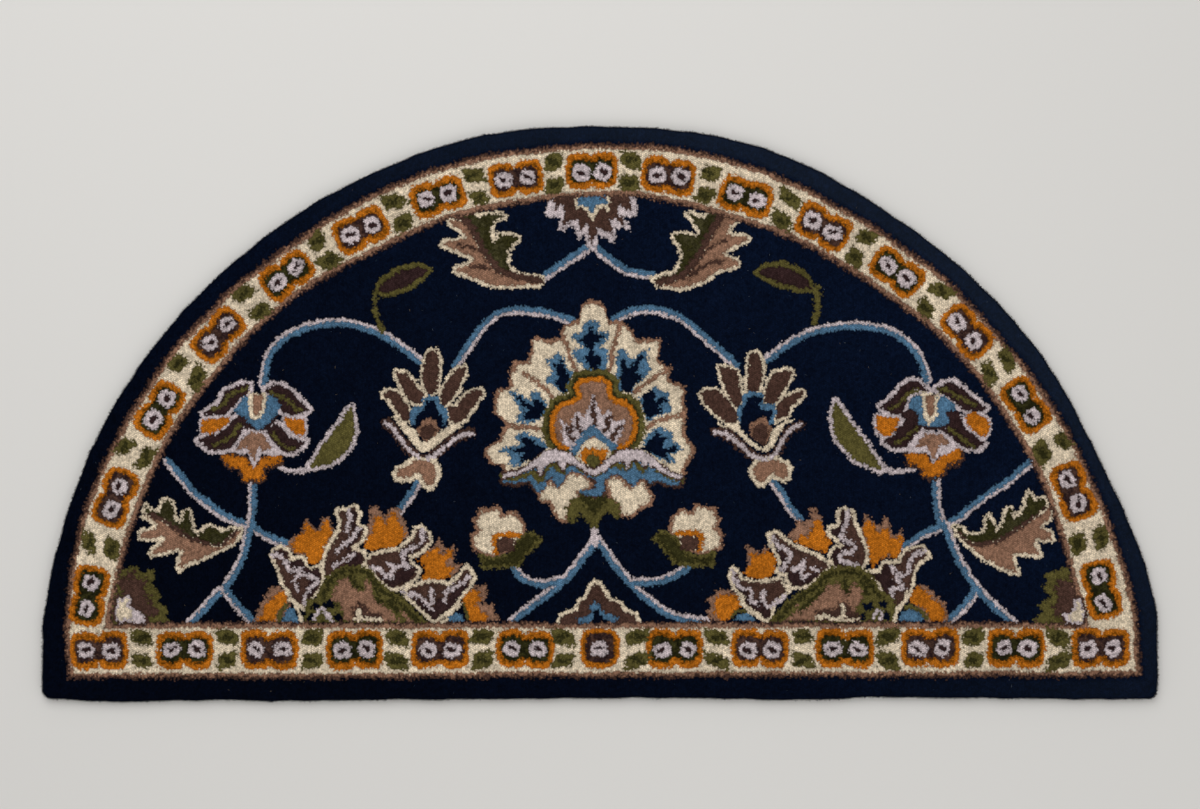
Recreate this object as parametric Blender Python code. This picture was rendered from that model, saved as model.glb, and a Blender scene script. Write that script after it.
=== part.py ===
# Half-round hearth rug, hand tufted in wool, lying flat.
# The rug is one piece of cloth, so it is one closed body: woven backing and cut pile together.
# Metres, +Z up. The straight edge faces -Y and the arc faces +Y.
# The origin is the middle of the footprint, on the surface that the rug lies on.

import math

import bmesh
import bpy

# Driving dimensions
WIDTH_M = 1.370
CORNER_RADIUS_M = 0.010
ARC_RADIUS_M = 0.6868
ARC_CENTRE_LEFT_M = 0.0067
ARC_CENTRE_ABOVE_EDGE_M = 0.0141

# How far the cut arc strays out of a true circle, read anticlockwise from the right foot.
# It is cut fullest above the right foot and beside the crown, and leanest above the left foot.
ARC_SWAY = (
    # angle_deg, out_mm
    (6.0, 10.0),
    (26.0, -6.5),
    (38.0, -2.5),
    (54.0, -2.0),
    (74.0, 7.4),
    (90.0, 2.4),
    (102.0, 5.0),
    (116.0, 0.8),
    (132.0, -1.8),
    (150.0, -2.4),
    (164.0, -4.8),
)

# How far the straight edge strays outwards, read from the left foot to the right foot.
EDGE_SWAY = (
    # along_share, out_mm
    (0.00, 0.0),
    (0.06, 3.4),
    (0.15, 1.2),
    (0.21, 2.4),
    (0.33, 0.6),
    (0.55, -1.4),
    (0.69, 1.2),
    (0.75, -2.4),
    (0.85, -1.2),
    (0.95, 0.2),
    (1.00, 0.0),
)

# Short ripples left by the shears, on every side of the rug.
SHEAR_RIPPLES = (
    # length_m, height_m, start_rad
    (0.071, 0.00045, 0.4),
    (0.043, 0.00035, 2.1),
    (0.029, 0.00025, 4.4),
)

# The rug's edge in section: the backing is drawn in, the pile bellies out and rounds over.
EDGE_SECTION = (
    # ring, inset_m, height_m
    ("backing foot", 0.0032, 0.0000),
    ("backing top", 0.0030, 0.0022),
    ("belly", 0.0000, 0.0056),
    ("shoulder", 0.0007, 0.0092),
    ("crown", 0.0026, 0.0115),
    ("pile top", 0.0062, 0.0124),
)

# Spacing of the outline's points
ARC_STEP_DEG = 1.25
EDGE_STEPS = 60
FOOT_STEPS = 5
CORNER_STEPS = 5

# Wool as seen from a step away
NAVY_RGB = (0.004, 0.007, 0.017)
WOOL_ROUGHNESS = 0.95


def smooth_table(rows, at):
    """Value of a two-column table at a place, eased along a half cosine between its rows."""
    if at <= rows[0][0]:
        return rows[0][1]
    for (at_a, value_a), (at_b, value_b) in zip(rows, rows[1:]):
        if at <= at_b:
            share = (at - at_a) / (at_b - at_a)
            ease = 0.5 - 0.5 * math.cos(math.pi * share)
            return value_a + (value_b - value_a) * ease
    return rows[-1][1]


def arc_radius(angle):
    """Radius of the cut arc at an angle in radians: the circle's plus its sway."""
    return ARC_RADIUS_M + 0.001 * smooth_table(ARC_SWAY, math.degrees(angle))


def arc_points(left_x, right_x):
    """The arc from the right foot to the left one, about its own centre, cut off at the feet."""
    points = []
    steps = round(180.0 / ARC_STEP_DEG)
    for step in range(steps + 1):
        angle = math.radians(step * ARC_STEP_DEG)
        radius = arc_radius(angle)
        x = radius * math.cos(angle)
        if left_x < x < right_x:
            points.append((x, radius * math.sin(angle)))
    return points


def foot_points(x, y_from, y_to):
    """Points on a short straight foot, from one height to another, without the last one."""
    return [(x, y_from + (y_to - y_from) * i / FOOT_STEPS) for i in range(FOOT_STEPS)]


def corner_points(centre_x, centre_y, start_deg):
    """A quarter circle that turns clockwise from a starting angle."""
    points = []
    for step in range(1, CORNER_STEPS):
        angle = math.radians(start_deg - 90.0 * step / CORNER_STEPS)
        points.append((centre_x + CORNER_RADIUS_M * math.cos(angle),
                       centre_y + CORNER_RADIUS_M * math.sin(angle)))
    return points


def straight_edge_points(left_x, right_x, edge_y):
    """The straight edge from the right corner to the left one, with its sway."""
    start = right_x - CORNER_RADIUS_M
    length = (right_x - left_x) - 2.0 * CORNER_RADIUS_M
    points = []
    for step in range(EDGE_STEPS + 1):
        share_left = step / EDGE_STEPS
        sway = 0.001 * smooth_table(EDGE_SWAY, 1.0 - share_left)
        points.append((start - length * share_left, edge_y - sway))
    return points


def with_ripples(points):
    """Moves each point of a closed outline along its normal by the sum of three sine ripples."""
    count = len(points)
    moved = []
    along = 0.0
    for i, (x, y) in enumerate(points):
        before = points[i - 1]
        after = points[(i + 1) % count]
        tangent = (after[0] - before[0], after[1] - before[1])
        size = math.hypot(*tangent)
        out = sum(height * math.sin(2.0 * math.pi * along / length + start)
                  for length, height, start in SHEAR_RIPPLES)
        moved.append((x - out * tangent[1] / size, y + out * tangent[0] / size))
        along += math.hypot(after[0] - x, after[1] - y)
    return moved


def rug_outline():
    """The footprint's outline, clockwise from the left foot, centred on its own box."""
    left_x = ARC_CENTRE_LEFT_M - WIDTH_M / 2.0
    right_x = ARC_CENTRE_LEFT_M + WIDTH_M / 2.0
    edge_y = -ARC_CENTRE_ABOVE_EDGE_M
    corner_y = edge_y + CORNER_RADIUS_M

    arc = list(reversed(arc_points(left_x, right_x)))
    outline = foot_points(left_x, corner_y, arc[0][1])
    outline += arc
    outline += list(reversed(foot_points(right_x, corner_y, arc[-1][1])))
    outline += corner_points(right_x - CORNER_RADIUS_M, corner_y, 0.0)
    outline += straight_edge_points(left_x, right_x, edge_y)
    outline += corner_points(left_x + CORNER_RADIUS_M, corner_y, 270.0)
    outline = with_ripples(outline)

    xs = [point[0] for point in outline]
    ys = [point[1] for point in outline]
    middle_x = (min(xs) + max(xs)) / 2.0
    middle_y = (min(ys) + max(ys)) / 2.0
    return [(x - middle_x, y - middle_y) for x, y in outline]


def inset_outline(outline, inset):
    """The outline drawn in along its corner normals by a small distance."""
    count = len(outline)
    drawn_in = []
    for i, (x, y) in enumerate(outline):
        before = outline[i - 1]
        after = outline[(i + 1) % count]
        tangent = (after[0] - before[0], after[1] - before[1])
        size = math.hypot(*tangent)
        drawn_in.append((x + inset * tangent[1] / size, y - inset * tangent[0] / size))
    return drawn_in


def rug_mesh():
    """Stacks the section's rings, bridges each to the next and closes the top and the underside."""
    outline = rug_outline()
    mesh = bpy.data.meshes.new("rug_body")
    form = bmesh.new()
    rings = []
    for _ring, inset, height in EDGE_SECTION:
        rings.append([form.verts.new((x, y, height)) for x, y in inset_outline(outline, inset)])
    count = len(outline)
    for lower, upper in zip(rings, rings[1:]):
        for i in range(count):
            j = (i + 1) % count
            form.faces.new((lower[i], upper[i], upper[j], lower[j]))
    form.faces.new(rings[0])
    form.faces.new(list(reversed(rings[-1])))
    bmesh.ops.recalc_face_normals(form, faces=form.faces[:])
    bmesh.ops.triangulate(form, faces=form.faces[:])
    form.to_mesh(mesh)
    form.free()
    mesh.shade_smooth()
    mesh.set_sharp_from_angle(angle=math.radians(40.0))
    return mesh


def wool_material():
    """Dull navy wool, the colour of the rug's ground and rim."""
    material = bpy.data.materials.new("navy_wool")
    material.use_nodes = True
    shader = material.node_tree.nodes["Principled BSDF"]
    shader.inputs["Base Color"].default_value = (*NAVY_RGB, 1.0)
    shader.inputs["Roughness"].default_value = WOOL_ROUGHNESS
    shader.inputs["Metallic"].default_value = 0.0
    material.diffuse_color = (*NAVY_RGB, 1.0)
    return material


def build_rug():
    """Makes the rug's one body."""
    mesh = rug_mesh()
    mesh.materials.append(wool_material())
    rug = bpy.data.objects.new("rug_body", mesh)
    bpy.context.scene.collection.objects.link(rug)
    return rug


for old in list(bpy.data.objects):
    bpy.data.objects.remove(old, do_unlink=True)

build_rug()
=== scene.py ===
# %% [markdown]
# # A half-round hearth rug
# This rug lies before a hearth: a straight side, an arched side, and a navy ground
# with a cream border, flowers and two-stranded vines. It is tufted by hand. Wool is
# punched through a cloth, held with a coat of latex, and cut to a pile about a
# centimetre deep. The scene builds it as a tufter would: the pile as a surface with
# a point for every tuft, the pattern as the yarn that each tuft is given, then the
# loose fibres at the rim and the backing underneath.

# %% Tools and the CAD model
import math

import bpy
import numpy as np
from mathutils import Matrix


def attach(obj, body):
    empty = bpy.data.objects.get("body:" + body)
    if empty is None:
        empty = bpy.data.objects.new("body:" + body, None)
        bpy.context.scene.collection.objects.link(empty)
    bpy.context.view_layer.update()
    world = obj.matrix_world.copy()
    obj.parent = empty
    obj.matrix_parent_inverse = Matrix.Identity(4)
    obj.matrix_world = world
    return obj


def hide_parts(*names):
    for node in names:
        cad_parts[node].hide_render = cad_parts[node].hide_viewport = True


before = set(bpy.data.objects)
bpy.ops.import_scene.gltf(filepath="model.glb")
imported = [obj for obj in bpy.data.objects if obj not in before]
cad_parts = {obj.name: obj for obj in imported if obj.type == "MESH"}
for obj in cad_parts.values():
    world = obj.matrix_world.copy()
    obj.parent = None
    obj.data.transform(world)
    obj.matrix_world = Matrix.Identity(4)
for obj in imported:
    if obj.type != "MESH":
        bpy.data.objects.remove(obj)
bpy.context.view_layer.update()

# %% [markdown]
# ## The view and the light
# The photo looks straight down on the rug, so its outline is true. One wide soft
# light hangs above the arched side and a weaker one above the hearth side, as in
# a studio with a large window. The light is nearly even, so the pile is told by its
# own small shadows. The view is shown with the plain transform, so that the
# palette's colours come out as they are mixed.

# %% Camera
MILLIMETRE = 0.001
PICTURE_WIDTH = 1.4718
VIEW_HEIGHT = 2.6
VIEW_CENTRE_Y = 0.01165
PILE_TOP = 0.0124
SENSOR_MM = 36.0


def set_camera():
    """Puts the camera straight above: lens = sensor * height / width of the picture on the pile."""
    lens = bpy.data.cameras.new("view_from_above")
    lens.sensor_width = SENSOR_MM
    lens.lens = SENSOR_MM * VIEW_HEIGHT / PICTURE_WIDTH
    camera = bpy.data.objects.new("view_from_above", lens)
    camera.location = (0.0, VIEW_CENTRE_Y, PILE_TOP + VIEW_HEIGHT)
    bpy.context.scene.collection.objects.link(camera)
    bpy.context.scene.camera = camera
    bpy.context.scene.view_settings.view_transform = "Standard"
    return lens.lens


print("lens in mm:", round(set_camera(), 1))

# %% Soft lights
SOFT_LIGHTS = (
    # name, x, y, z, aims at y, side, power_w
    ("window_light", -0.5, 1.5, 2.3, 0.0, 2.2, 34.0),
    ("fill_light", 0.8, -1.7, 2.1, 0.0, 2.0, 10.0),
)
ROOM_LIGHT = 0.52


def hang_lights():
    """Square soft lights, each turned to look at its place on the floor, and an even room light."""
    for name, x, y, z, aim_y, side, power in SOFT_LIGHTS:
        light = bpy.data.lights.new(name, "AREA")
        light.shape, light.size, light.energy = "SQUARE", side, power
        holder = bpy.data.objects.new(name, light)
        holder.location = (x, y, z)
        drop = math.atan2(math.hypot(x, y - aim_y), z)
        holder.rotation_euler = (0.0, drop, math.atan2(y - aim_y, x))
        bpy.context.scene.collection.objects.link(holder)
    world = bpy.data.worlds.new("room")
    world.use_nodes = True
    world.node_tree.nodes["Background"].inputs["Color"].default_value = (1.0, 0.99, 0.97, 1.0)
    world.node_tree.nodes["Background"].inputs["Strength"].default_value = ROOM_LIGHT
    bpy.context.scene.world = world


hang_lights()
print("soft lights:", len(SOFT_LIGHTS))

# %% [markdown]
# ## The outline
# The CAD solid holds the rug's true outline: it was cut with shears, so the arc
# strays out and in by a few millimetres. The scene doesn't draw it again. It takes
# the ring of points where the solid is widest, sorts them by their bearing, and
# everything else is measured from that ring.

# %% Outline of the cut edge
BELLY_HEIGHT = 0.0056
EDGE_PROFILE_MM = (
    # depth inside the outline, height of the pile's surface
    (0.0, 5.6), (0.7, 9.2), (2.6, 11.5), (6.2, 12.4),
)
MIDDLE_Y_MM = -100.0


def cut_outline(node, height):
    """Outline of the CAD solid at one height, in millimetres, ordered by bearing from the middle."""
    mesh = bpy.data.objects[node].data
    points = np.empty(len(mesh.vertices) * 3)
    mesh.vertices.foreach_get("co", points)
    points = points.reshape(-1, 3)
    ring = np.unique(np.round(points[np.abs(points[:, 2] - height) < 2e-5, :2], 6), axis=0) / MILLIMETRE
    bearing = np.arctan2(ring[:, 1] - MIDDLE_Y_MM, ring[:, 0])
    return ring[np.argsort(bearing)]


OUTLINE = cut_outline("rug_body", BELLY_HEIGHT)

# %% [markdown]
# ## The yarns
# A tufted rug is coloured by its yarns and by nothing else: each tuft is one short
# bundle of dyed wool. So the pattern could be a picture wrapped over the rug, but
# here every point of the pile is given a yarn by its number on this shelf. The
# colours are those that the eye sees, from 0 to 255, and are turned to light
# values once, in the palette.

# %% Yarn shelf
YARNS = (
    # yarn, red, green, blue
    ("navy", 5, 12, 28),
    ("cream", 205, 189, 165),
    ("orange", 171, 99, 24),
    ("amber", 122, 70, 10),
    ("dusty", 131, 98, 79),
    ("brown", 68, 48, 41),
    ("plum", 46, 31, 31),
    ("olive", 82, 76, 40),
    ("moss", 47, 45, 22),
    ("pine", 32, 31, 15),
    ("sage", 58, 55, 34),
    ("blue", 71, 103, 129),
    ("lilac", 184, 171, 173),
)
YARN_NUMBER = {row[0]: number for number, row in enumerate(YARNS)}


def light_from_eye(seen):
    """Light value of a colour seen as 0 to 255: the sRGB curve, a power of 2.4 with a straight foot."""
    share = np.asarray(seen, float) / 255.0
    return np.where(share <= 0.04045, share / 12.92, ((share + 0.055) / 1.055) ** 2.4)


YARN_LIGHT = light_from_eye([row[1:] for row in YARNS])
print("yarns on the shelf:", len(YARNS))

# %% [markdown]
# ## Drawing on the cloth
# A tufter draws the pattern on the backing cloth and fills each shape with one
# yarn. The same is done here in numbers. A shape is a function that says how deep
# inside it each tuft stands, in millimetres, with a minus outside. An outline is then
# the same shape grown by a few millimetres and filled first, and the ragged edge
# of wool is a little noise added to the depth, so that some tufts fall on the
# wrong side of the line, as they do under the tufting gun.

# %% Noise and curves
def cloth_noise(x, y, grain, seed):
    """Smooth noise from -1 to 1: random numbers on a square lattice of that grain, eased between
    the four corners round each place."""
    table = np.random.default_rng(seed).uniform(-1.0, 1.0, (128, 128))
    across, up = x / grain, y / grain
    col, row = np.floor(across).astype(int), np.floor(up).astype(int)
    ease_x, ease_y = across - col, up - row
    ease_x, ease_y = ease_x ** 2 * (3.0 - 2.0 * ease_x), ease_y ** 2 * (3.0 - 2.0 * ease_y)
    low = table[row % 128, col % 128] * (1.0 - ease_x) + table[row % 128, (col + 1) % 128] * ease_x
    row = row + 1
    high = table[row % 128, col % 128] * (1.0 - ease_x) + table[row % 128, (col + 1) % 128] * ease_x
    return low * (1.0 - ease_y) + high * ease_y


def smooth_line(points, steps=8):
    """A curve through hand-set points: each stretch is the cubic whose slope at a point runs from
    the point before it to the point after it."""
    knots = np.asarray(points, float)
    if len(knots) < 3:
        return knots
    knots = np.vstack([2.0 * knots[0] - knots[1], knots, 2.0 * knots[-1] - knots[-2]])
    before, start, end, after = knots[:-3, None], knots[1:-2, None], knots[2:-1, None], knots[3:, None]
    t = (np.arange(steps) / steps)[None, :, None]
    curve = 0.5 * (2.0 * start + (end - before) * t
                   + (2.0 * before - 5.0 * start + 4.0 * end - after) * t ** 2
                   + (3.0 * start - before - 3.0 * end + after) * t ** 3)
    return np.vstack([curve.reshape(-1, 2), knots[-2]])


# %% The cloth and a patch of it
WANDER_MM = 1.1
RAG_MM = 1.6
RAG_GRAIN_MM = 2.3


class Cloth:
    """The rug's tufts: where each is rooted, in millimetres, and the yarn that it is tufted in.
    The hand that drew the pattern wandered a little, so the roots are read a little displaced."""

    def __init__(self, x, y):
        self.x = x + WANDER_MM * (cloth_noise(x, y, 41.0, 1) + 0.5 * cloth_noise(x, y, 9.0, 2))
        self.y = y + WANDER_MM * (cloth_noise(x, y, 41.0, 3) + 0.5 * cloth_noise(x, y, 9.0, 4))
        loose = np.random.default_rng(5).uniform(-1.0, 1.0, len(x))
        self.rag = RAG_MM * (0.5 * loose + 1.1 * cloth_noise(x, y, RAG_GRAIN_MM, 6))
        self.yarn = np.zeros(len(x), np.uint8)

    def fill(self, yarn, depth, rag=1.0):
        """Tufts one yarn wherever the depth, with the ragged edge added, is above zero."""
        self.yarn[depth + rag * self.rag > 0.0] = YARN_NUMBER[yarn]


class Patch:
    """The tufts round one place, with axes of their own in millimetres: u to the right, v up."""

    def __init__(self, cloth, x, y, reach, turn_deg=0.0, flip=False):
        self.cloth = cloth
        self.near = np.flatnonzero((np.abs(cloth.x - x) < reach) & (np.abs(cloth.y - y) < reach))
        across, up = cloth.x[self.near] - x, cloth.y[self.near] - y
        cos, sin = math.cos(math.radians(turn_deg)), math.sin(math.radians(turn_deg))
        self.u, self.v = cos * across + sin * up, cos * up - sin * across
        if flip:
            self.u = -self.u
        self.rag = cloth.rag[self.near]

    def fill(self, yarn, depth, grow=0.0, rag=1.0):
        """Tufts one yarn inside a shape, grown outwards by some millimetres."""
        inside = depth + grow + rag * self.rag > 0.0
        self.cloth.yarn[self.near[inside]] = YARN_NUMBER[yarn]

    def oval(self, u, v, half_u, half_v, turn_deg=0.0, square=2.0):
        """Depth in an oval: one minus its superellipse radius, times its smaller half width."""
        cos, sin = math.cos(math.radians(turn_deg)), math.sin(math.radians(turn_deg))
        du, dv = self.u - u, self.v - v
        along, over = (cos * du + sin * dv) / half_u, (cos * dv - sin * du) / half_v
        radius = (np.abs(along) ** square + np.abs(over) ** square) ** (1.0 / square)
        return (1.0 - radius) * min(half_u, half_v)

    def along(self, points):
        """Nearest place on a smooth line, for each tuft: its share of the way from start to end, the
        distance to it, and the side it is on, plus on the left and minus on the right."""
        line = smooth_line(points)
        start, step = line[:-1], np.diff(line, axis=0)
        length = np.hypot(step[:, 0], step[:, 1])
        from_u, from_v = self.u[:, None] - start[:, 0], self.v[:, None] - start[:, 1]
        share = np.clip((from_u * step[:, 0] + from_v * step[:, 1]) / length ** 2, 0.0, 1.0)
        off = np.hypot(from_u - share * step[:, 0], from_v - share * step[:, 1])
        best = np.argmin(off, axis=1)
        row = np.arange(len(best))
        reached = np.concatenate([[0.0], np.cumsum(length)])
        way = (reached[best] + share[row, best] * length[best]) / reached[-1]
        side = np.sign(step[best, 0] * from_v[row, best] - step[best, 1] * from_u[row, best])
        return way, off[row, best], side

    def stroke(self, points, width):
        """Depth in a stroke of one width with round ends: half the width less the distance."""
        return width / 2.0 - self.along(points)[1]

    def areas(self, yarn, shapes, edge=None, edge_mm=0.0, rag=1.0, grow=0.0):
        """Tufts straight-sided shapes in one yarn, after an edge round all of them in another."""
        depths = [self.corners(shape) for shape in shapes]
        if edge:
            for depth in depths:
                self.fill(edge, depth, edge_mm, rag)
        for depth in depths:
            self.fill(yarn, depth, grow, rag)

    def lines(self, yarn, lines, width, rag=1.0):
        """Tufts some strokes of one width in one yarn."""
        for points in lines:
            self.fill(yarn, self.stroke(points, width), rag=rag)

    def blade(self, rib, left, right):
        """Depth in a leaf on a bent rib, with a reach of its own on each side, from tables of
        share along the rib and reach."""
        way, off, side = self.along(rib)
        reach_left = np.interp(way, *np.transpose(left))
        reach_right = np.interp(way, *np.transpose(right))
        return np.where(side >= 0.0, reach_left, reach_right) - off

    def corners(self, points):
        """Depth in a straight-sided shape: the distance to its nearest side, plus inside by the
        count of sides that a line to the right crosses."""
        ends = np.asarray(points, float)
        nearest = np.full(len(self.u), 1e9)
        inside = np.zeros(len(self.u), bool)
        for (au, av), (bu, bv) in zip(ends, np.roll(ends, -1, axis=0)):
            du, dv = bu - au, bv - av
            share = ((self.u - au) * du + (self.v - av) * dv) / (du * du + dv * dv)
            share = np.clip(share, 0.0, 1.0)
            nearest = np.minimum(nearest, np.hypot(self.u - au - share * du, self.v - av - share * dv))
            if av != bv:
                crossing = au + (self.v - av) * du / dv
                inside ^= ((av > self.v) != (bv > self.v)) & (self.u < crossing)
        return np.where(inside, nearest, -nearest)

    def lobes(self, rows):
        """Depth in a rounded shape about the patch's centre: its reach at each bearing is eased
        between the rows of a table of bearing in degrees and reach, less the distance out."""
        bearing = np.degrees(np.arctan2(self.v, self.u))
        bearing = np.where(bearing < -90.0, bearing + 360.0, bearing)
        at, reach = np.transpose(rows)
        spot = np.clip(np.searchsorted(at, bearing) - 1, 0, len(at) - 2)
        share = np.clip((bearing - at[spot]) / (at[spot + 1] - at[spot]), 0.0, 1.0)
        ease = 0.5 - 0.5 * np.cos(math.pi * share)
        return reach[spot] + (reach[spot + 1] - reach[spot]) * ease - np.hypot(self.u, self.v)


# %% [markdown]
# ## The border
# The border is a cream band between two thin brown lines. It follows the arc and
# runs straight along the hearth side. Its beads are double rings on an orange
# ground, with a pair of green knots between each two. The band could be one long
# curve, but it is simpler as a depth: each tuft's distance in from the border's
# outer line, the least of its distances from the arc and the straight side. The
# inner line is measured in the same way from the field. A hand-drawn line is never
# a true arc, so two slow waves go over each, and it leans a little at its feet.

# %% Border band
# Places are in millimetres from the middle of the rug's box
ARC_CENTRE_X, ARC_CENTRE_Y = -6.7, -336.7
RUG_RADIUS = 686.8
BORDER_FOLLOWS_EDGE = 0.7
FOOT_SPAN_DEG = 18.0
# radius, lean at the right foot and at the left foot, and waves: height, count in a turn, start in degrees
BORDER_LINE = (665.0, 1.0, -11.0, ((1.8, 5, 20.0), (1.2, 13, 100.0)))
FIELD_LINE = (601.0, 7.0, -6.0, ((2.0, 7, 200.0), (1.3, 17, 60.0)))
BORDER_FOOT_Y, BORDER_FOOT_LEAN = -324.4, 0.0026
FIELD_FOOT_Y = -255.1
LINE_WIDTH = 7.6


def line_radius(line, bearing):
    """Radius of a hand-drawn arc: its own, plus slow sine waves, plus a lean over the last degrees."""
    reach, right_lean, left_lean, waves = line
    stray = sum(height * np.sin(np.radians(count * bearing + start)) for height, count, start in waves)
    right = right_lean * np.clip(1.0 - bearing / FOOT_SPAN_DEG, 0.0, 1.0)
    left = left_lean * np.clip(1.0 - (180.0 - bearing) / FOOT_SPAN_DEG, 0.0, 1.0)
    return reach + stray + right + left


def border_depths(cloth, edge_bearing, edge_radius):
    """How deep each tuft stands inside the border's outer line and inside the field's edge. Both lines
    are hand-drawn arcs, and the outer one also follows the rug's cut edge."""
    across, up = cloth.x - ARC_CENTRE_X, cloth.y - ARC_CENTRE_Y
    radius, bearing = np.hypot(across, up), np.degrees(np.arctan2(up, across))
    follow = BORDER_FOLLOWS_EDGE * (np.interp(bearing, edge_bearing, edge_radius) - RUG_RADIUS)
    foot = cloth.y - BORDER_FOOT_Y - BORDER_FOOT_LEAN * cloth.x
    outer = np.minimum(line_radius(BORDER_LINE, bearing) + follow - radius, foot)
    field = np.minimum(line_radius(FIELD_LINE, bearing) - radius, cloth.y - FIELD_FOOT_Y)
    return outer, field


def tuft_border_band(cloth, outer, field):
    """The rim in navy, then the brown outer line, the cream band and the brown inner line. Both lines
    are dusty towards the cream."""
    not_field = -field
    cloth.fill("navy", -outer, rag=0.0)
    cloth.fill("brown", np.minimum(outer, not_field), rag=1.5)
    cloth.fill("dusty", np.minimum(outer - 3.4, not_field - 2.4), rag=1.8)
    cloth.fill("cream", np.minimum(outer - LINE_WIDTH, not_field - LINE_WIDTH), rag=1.0)


# %% Beads and knots
ARCH_HALF_WIDTH, SILL_HALF_WIDTH = 21.8, 24.0
SQUARE_SHARE, RING_SHARE = 0.47, 0.43
ORANGE_WIDTH, BRIDGE_HALF_WIDTH = 6.8, 11.0
# Beads are counted both ways from the middle one. They stand a little wider apart towards the feet.
ARCH_BEADS_EACH_WAY, CROWN_BEARING, BEAD_STEP_DEG, BEAD_STEP_GROWS = 8, 90.3, 8.26, 0.206
CROWN_HALF_LENGTH, HALF_LENGTH_GROWS = 32.5, 0.55
SILL_HALF_LENGTH, SINGLE_HALF_LENGTH = 35.6, 24.0
SILL_BEADS_EACH_WAY, SILL_FIRST_STEP, SILL_STEP = 6, 92.0, 104.5
SILL_Y = -288.4
KNOT_OUT = 14.3


def tuft_bead(cloth, x, y, turn_deg, half_length, half_width, ground, luck, single=False):
    """One bead: two rounded squares side by side in orange, the ground colour run through both of
    them, and in each a lilac ring round a dark eye, none of them quite in place."""
    patch = Patch(cloth, x, y, half_length + 14.0, turn_deg)
    middles = (0.0,) if single else (-half_length, half_length)
    body = np.full(len(patch.u), -99.0)
    for middle in middles:
        off_u, off_v, grow = luck.uniform(-1.4, 1.4, 3)
        half = half_length - SQUARE_SHARE * abs(middle) + 0.4 * grow
        square = patch.oval(SQUARE_SHARE * middle + 0.4 * off_u, 0.7 * off_v, half, half_width + 0.4 * grow,
                            square=3.4)
        body = np.maximum(body, square)
    inner = body - ORANGE_WIDTH
    if not single:
        bridge = patch.oval(0.0, luck.uniform(-1.5, 1.5), SQUARE_SHARE * half_length, BRIDGE_HALF_WIDTH,
                            square=4.0)
        inner = np.maximum(inner, bridge)
    patch.fill("orange", body, rag=0.9)
    patch.fill("amber", inner, grow=1.6, rag=1.6)
    patch.fill(ground, inner, rag=0.9)
    specks = cloth_noise(patch.u, patch.v, 5.0, 39) - 0.1
    patch.fill("plum" if ground == "brown" else "pine", np.minimum(inner, 4.0 * specks), rag=1.0)
    for middle in middles:
        off_u, off_v, turn, wide, tall = luck.uniform(-1.0, 1.0, 5)
        ring_u, ring_v = RING_SHARE * middle + 1.2 * off_u, 1.6 * off_v
        patch.fill("lilac", patch.oval(ring_u, ring_v, 10.3 + 1.3 * wide, 9.6 + 1.0 * tall,
                                       turn_deg=25.0 * turn, square=2.8), rag=1.0)
        patch.fill("plum", patch.oval(ring_u + off_v, ring_v - off_u, 4.6 + 1.6 * abs(turn),
                                      2.8 + 0.8 * tall, turn_deg=40.0 * turn), rag=0.9)


def tuft_knot(cloth, x, y, turn_deg, luck):
    """One green knot: a rough square of olive with a darker streak in its middle."""
    patch = Patch(cloth, x, y, 26.0, turn_deg)
    lean, wide, tall, skew = luck.uniform(-1.0, 1.0, 4)
    shape = patch.oval(0.0, 0.0, 12.6 + 1.8 * wide, 9.6 + 1.3 * tall, 12.0 * lean, square=3.6)
    patch.fill("olive", shape - 1.5 * np.sign(skew) * patch.u * patch.v / 90.0, rag=1.2)
    patch.fill("moss", patch.oval(1.5 * lean, 0.0, 6.5 + wide, 3.2 + 0.8 * tall, 30.0 * skew), rag=1.6)


def arch_bead(count):
    """Bearing, radius and half length of a bead: midway between the two lines, this many from the crown."""
    bearing = CROWN_BEARING + BEAD_STEP_DEG * count + BEAD_STEP_GROWS * count * abs(count)
    radius = (line_radius(BORDER_LINE, bearing) + line_radius(FIELD_LINE, bearing)) / 2.0
    return bearing, radius, CROWN_HALF_LENGTH + HALF_LENGTH_GROWS * abs(count)


def sill_bead_x(count):
    """Place of a bead on the straight side: the middle one is single, so the first step is shorter."""
    return math.copysign(SILL_FIRST_STEP + SILL_STEP * (abs(count) - 1), count) if count else 0.0


def on_arch(radius, bearing):
    """Place at a radius and a bearing in degrees from the arch's centre."""
    angle = math.radians(bearing)
    return ARC_CENTRE_X + radius * math.cos(angle), ARC_CENTRE_Y + radius * math.sin(angle)


def tuft_border_figures(cloth):
    """Beads along the arch and the straight side, brown and green by turns, and the knots in pairs
    halfway between them."""
    luck = np.random.default_rng(21)
    beads = [arch_bead(count) for count in range(-ARCH_BEADS_EACH_WAY, ARCH_BEADS_EACH_WAY + 1)]
    for number, (bearing, radius, half_length) in enumerate(beads):
        tuft_bead(cloth, *on_arch(radius, bearing), bearing - 90.0, half_length, ARCH_HALF_WIDTH,
                  "brown" if number % 2 else "moss", luck)
    for (bearing, radius, _), (after, radius_after, _) in zip(beads, beads[1:]):
        middle, out = (bearing + after) / 2.0, (radius + radius_after) / 2.0
        for side in (-KNOT_OUT, KNOT_OUT):
            tuft_knot(cloth, *on_arch(out + side, middle), middle - 90.0, luck)
    places = [sill_bead_x(count) for count in range(-SILL_BEADS_EACH_WAY, SILL_BEADS_EACH_WAY + 1)]
    for number, x in enumerate(places):
        single = number == SILL_BEADS_EACH_WAY
        half_length = SINGLE_HALF_LENGTH if single else SILL_HALF_LENGTH
        tuft_bead(cloth, x, SILL_Y + BORDER_FOOT_LEAN * x, 0.0, half_length, SILL_HALF_WIDTH,
                  "moss" if number % 2 else "brown", luck, single)
    for left, right in zip(places, places[1:]):
        for side in (-KNOT_OUT, KNOT_OUT):
            tuft_knot(cloth, (left + right) / 2.0, SILL_Y + side, 0.0, luck)


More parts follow.
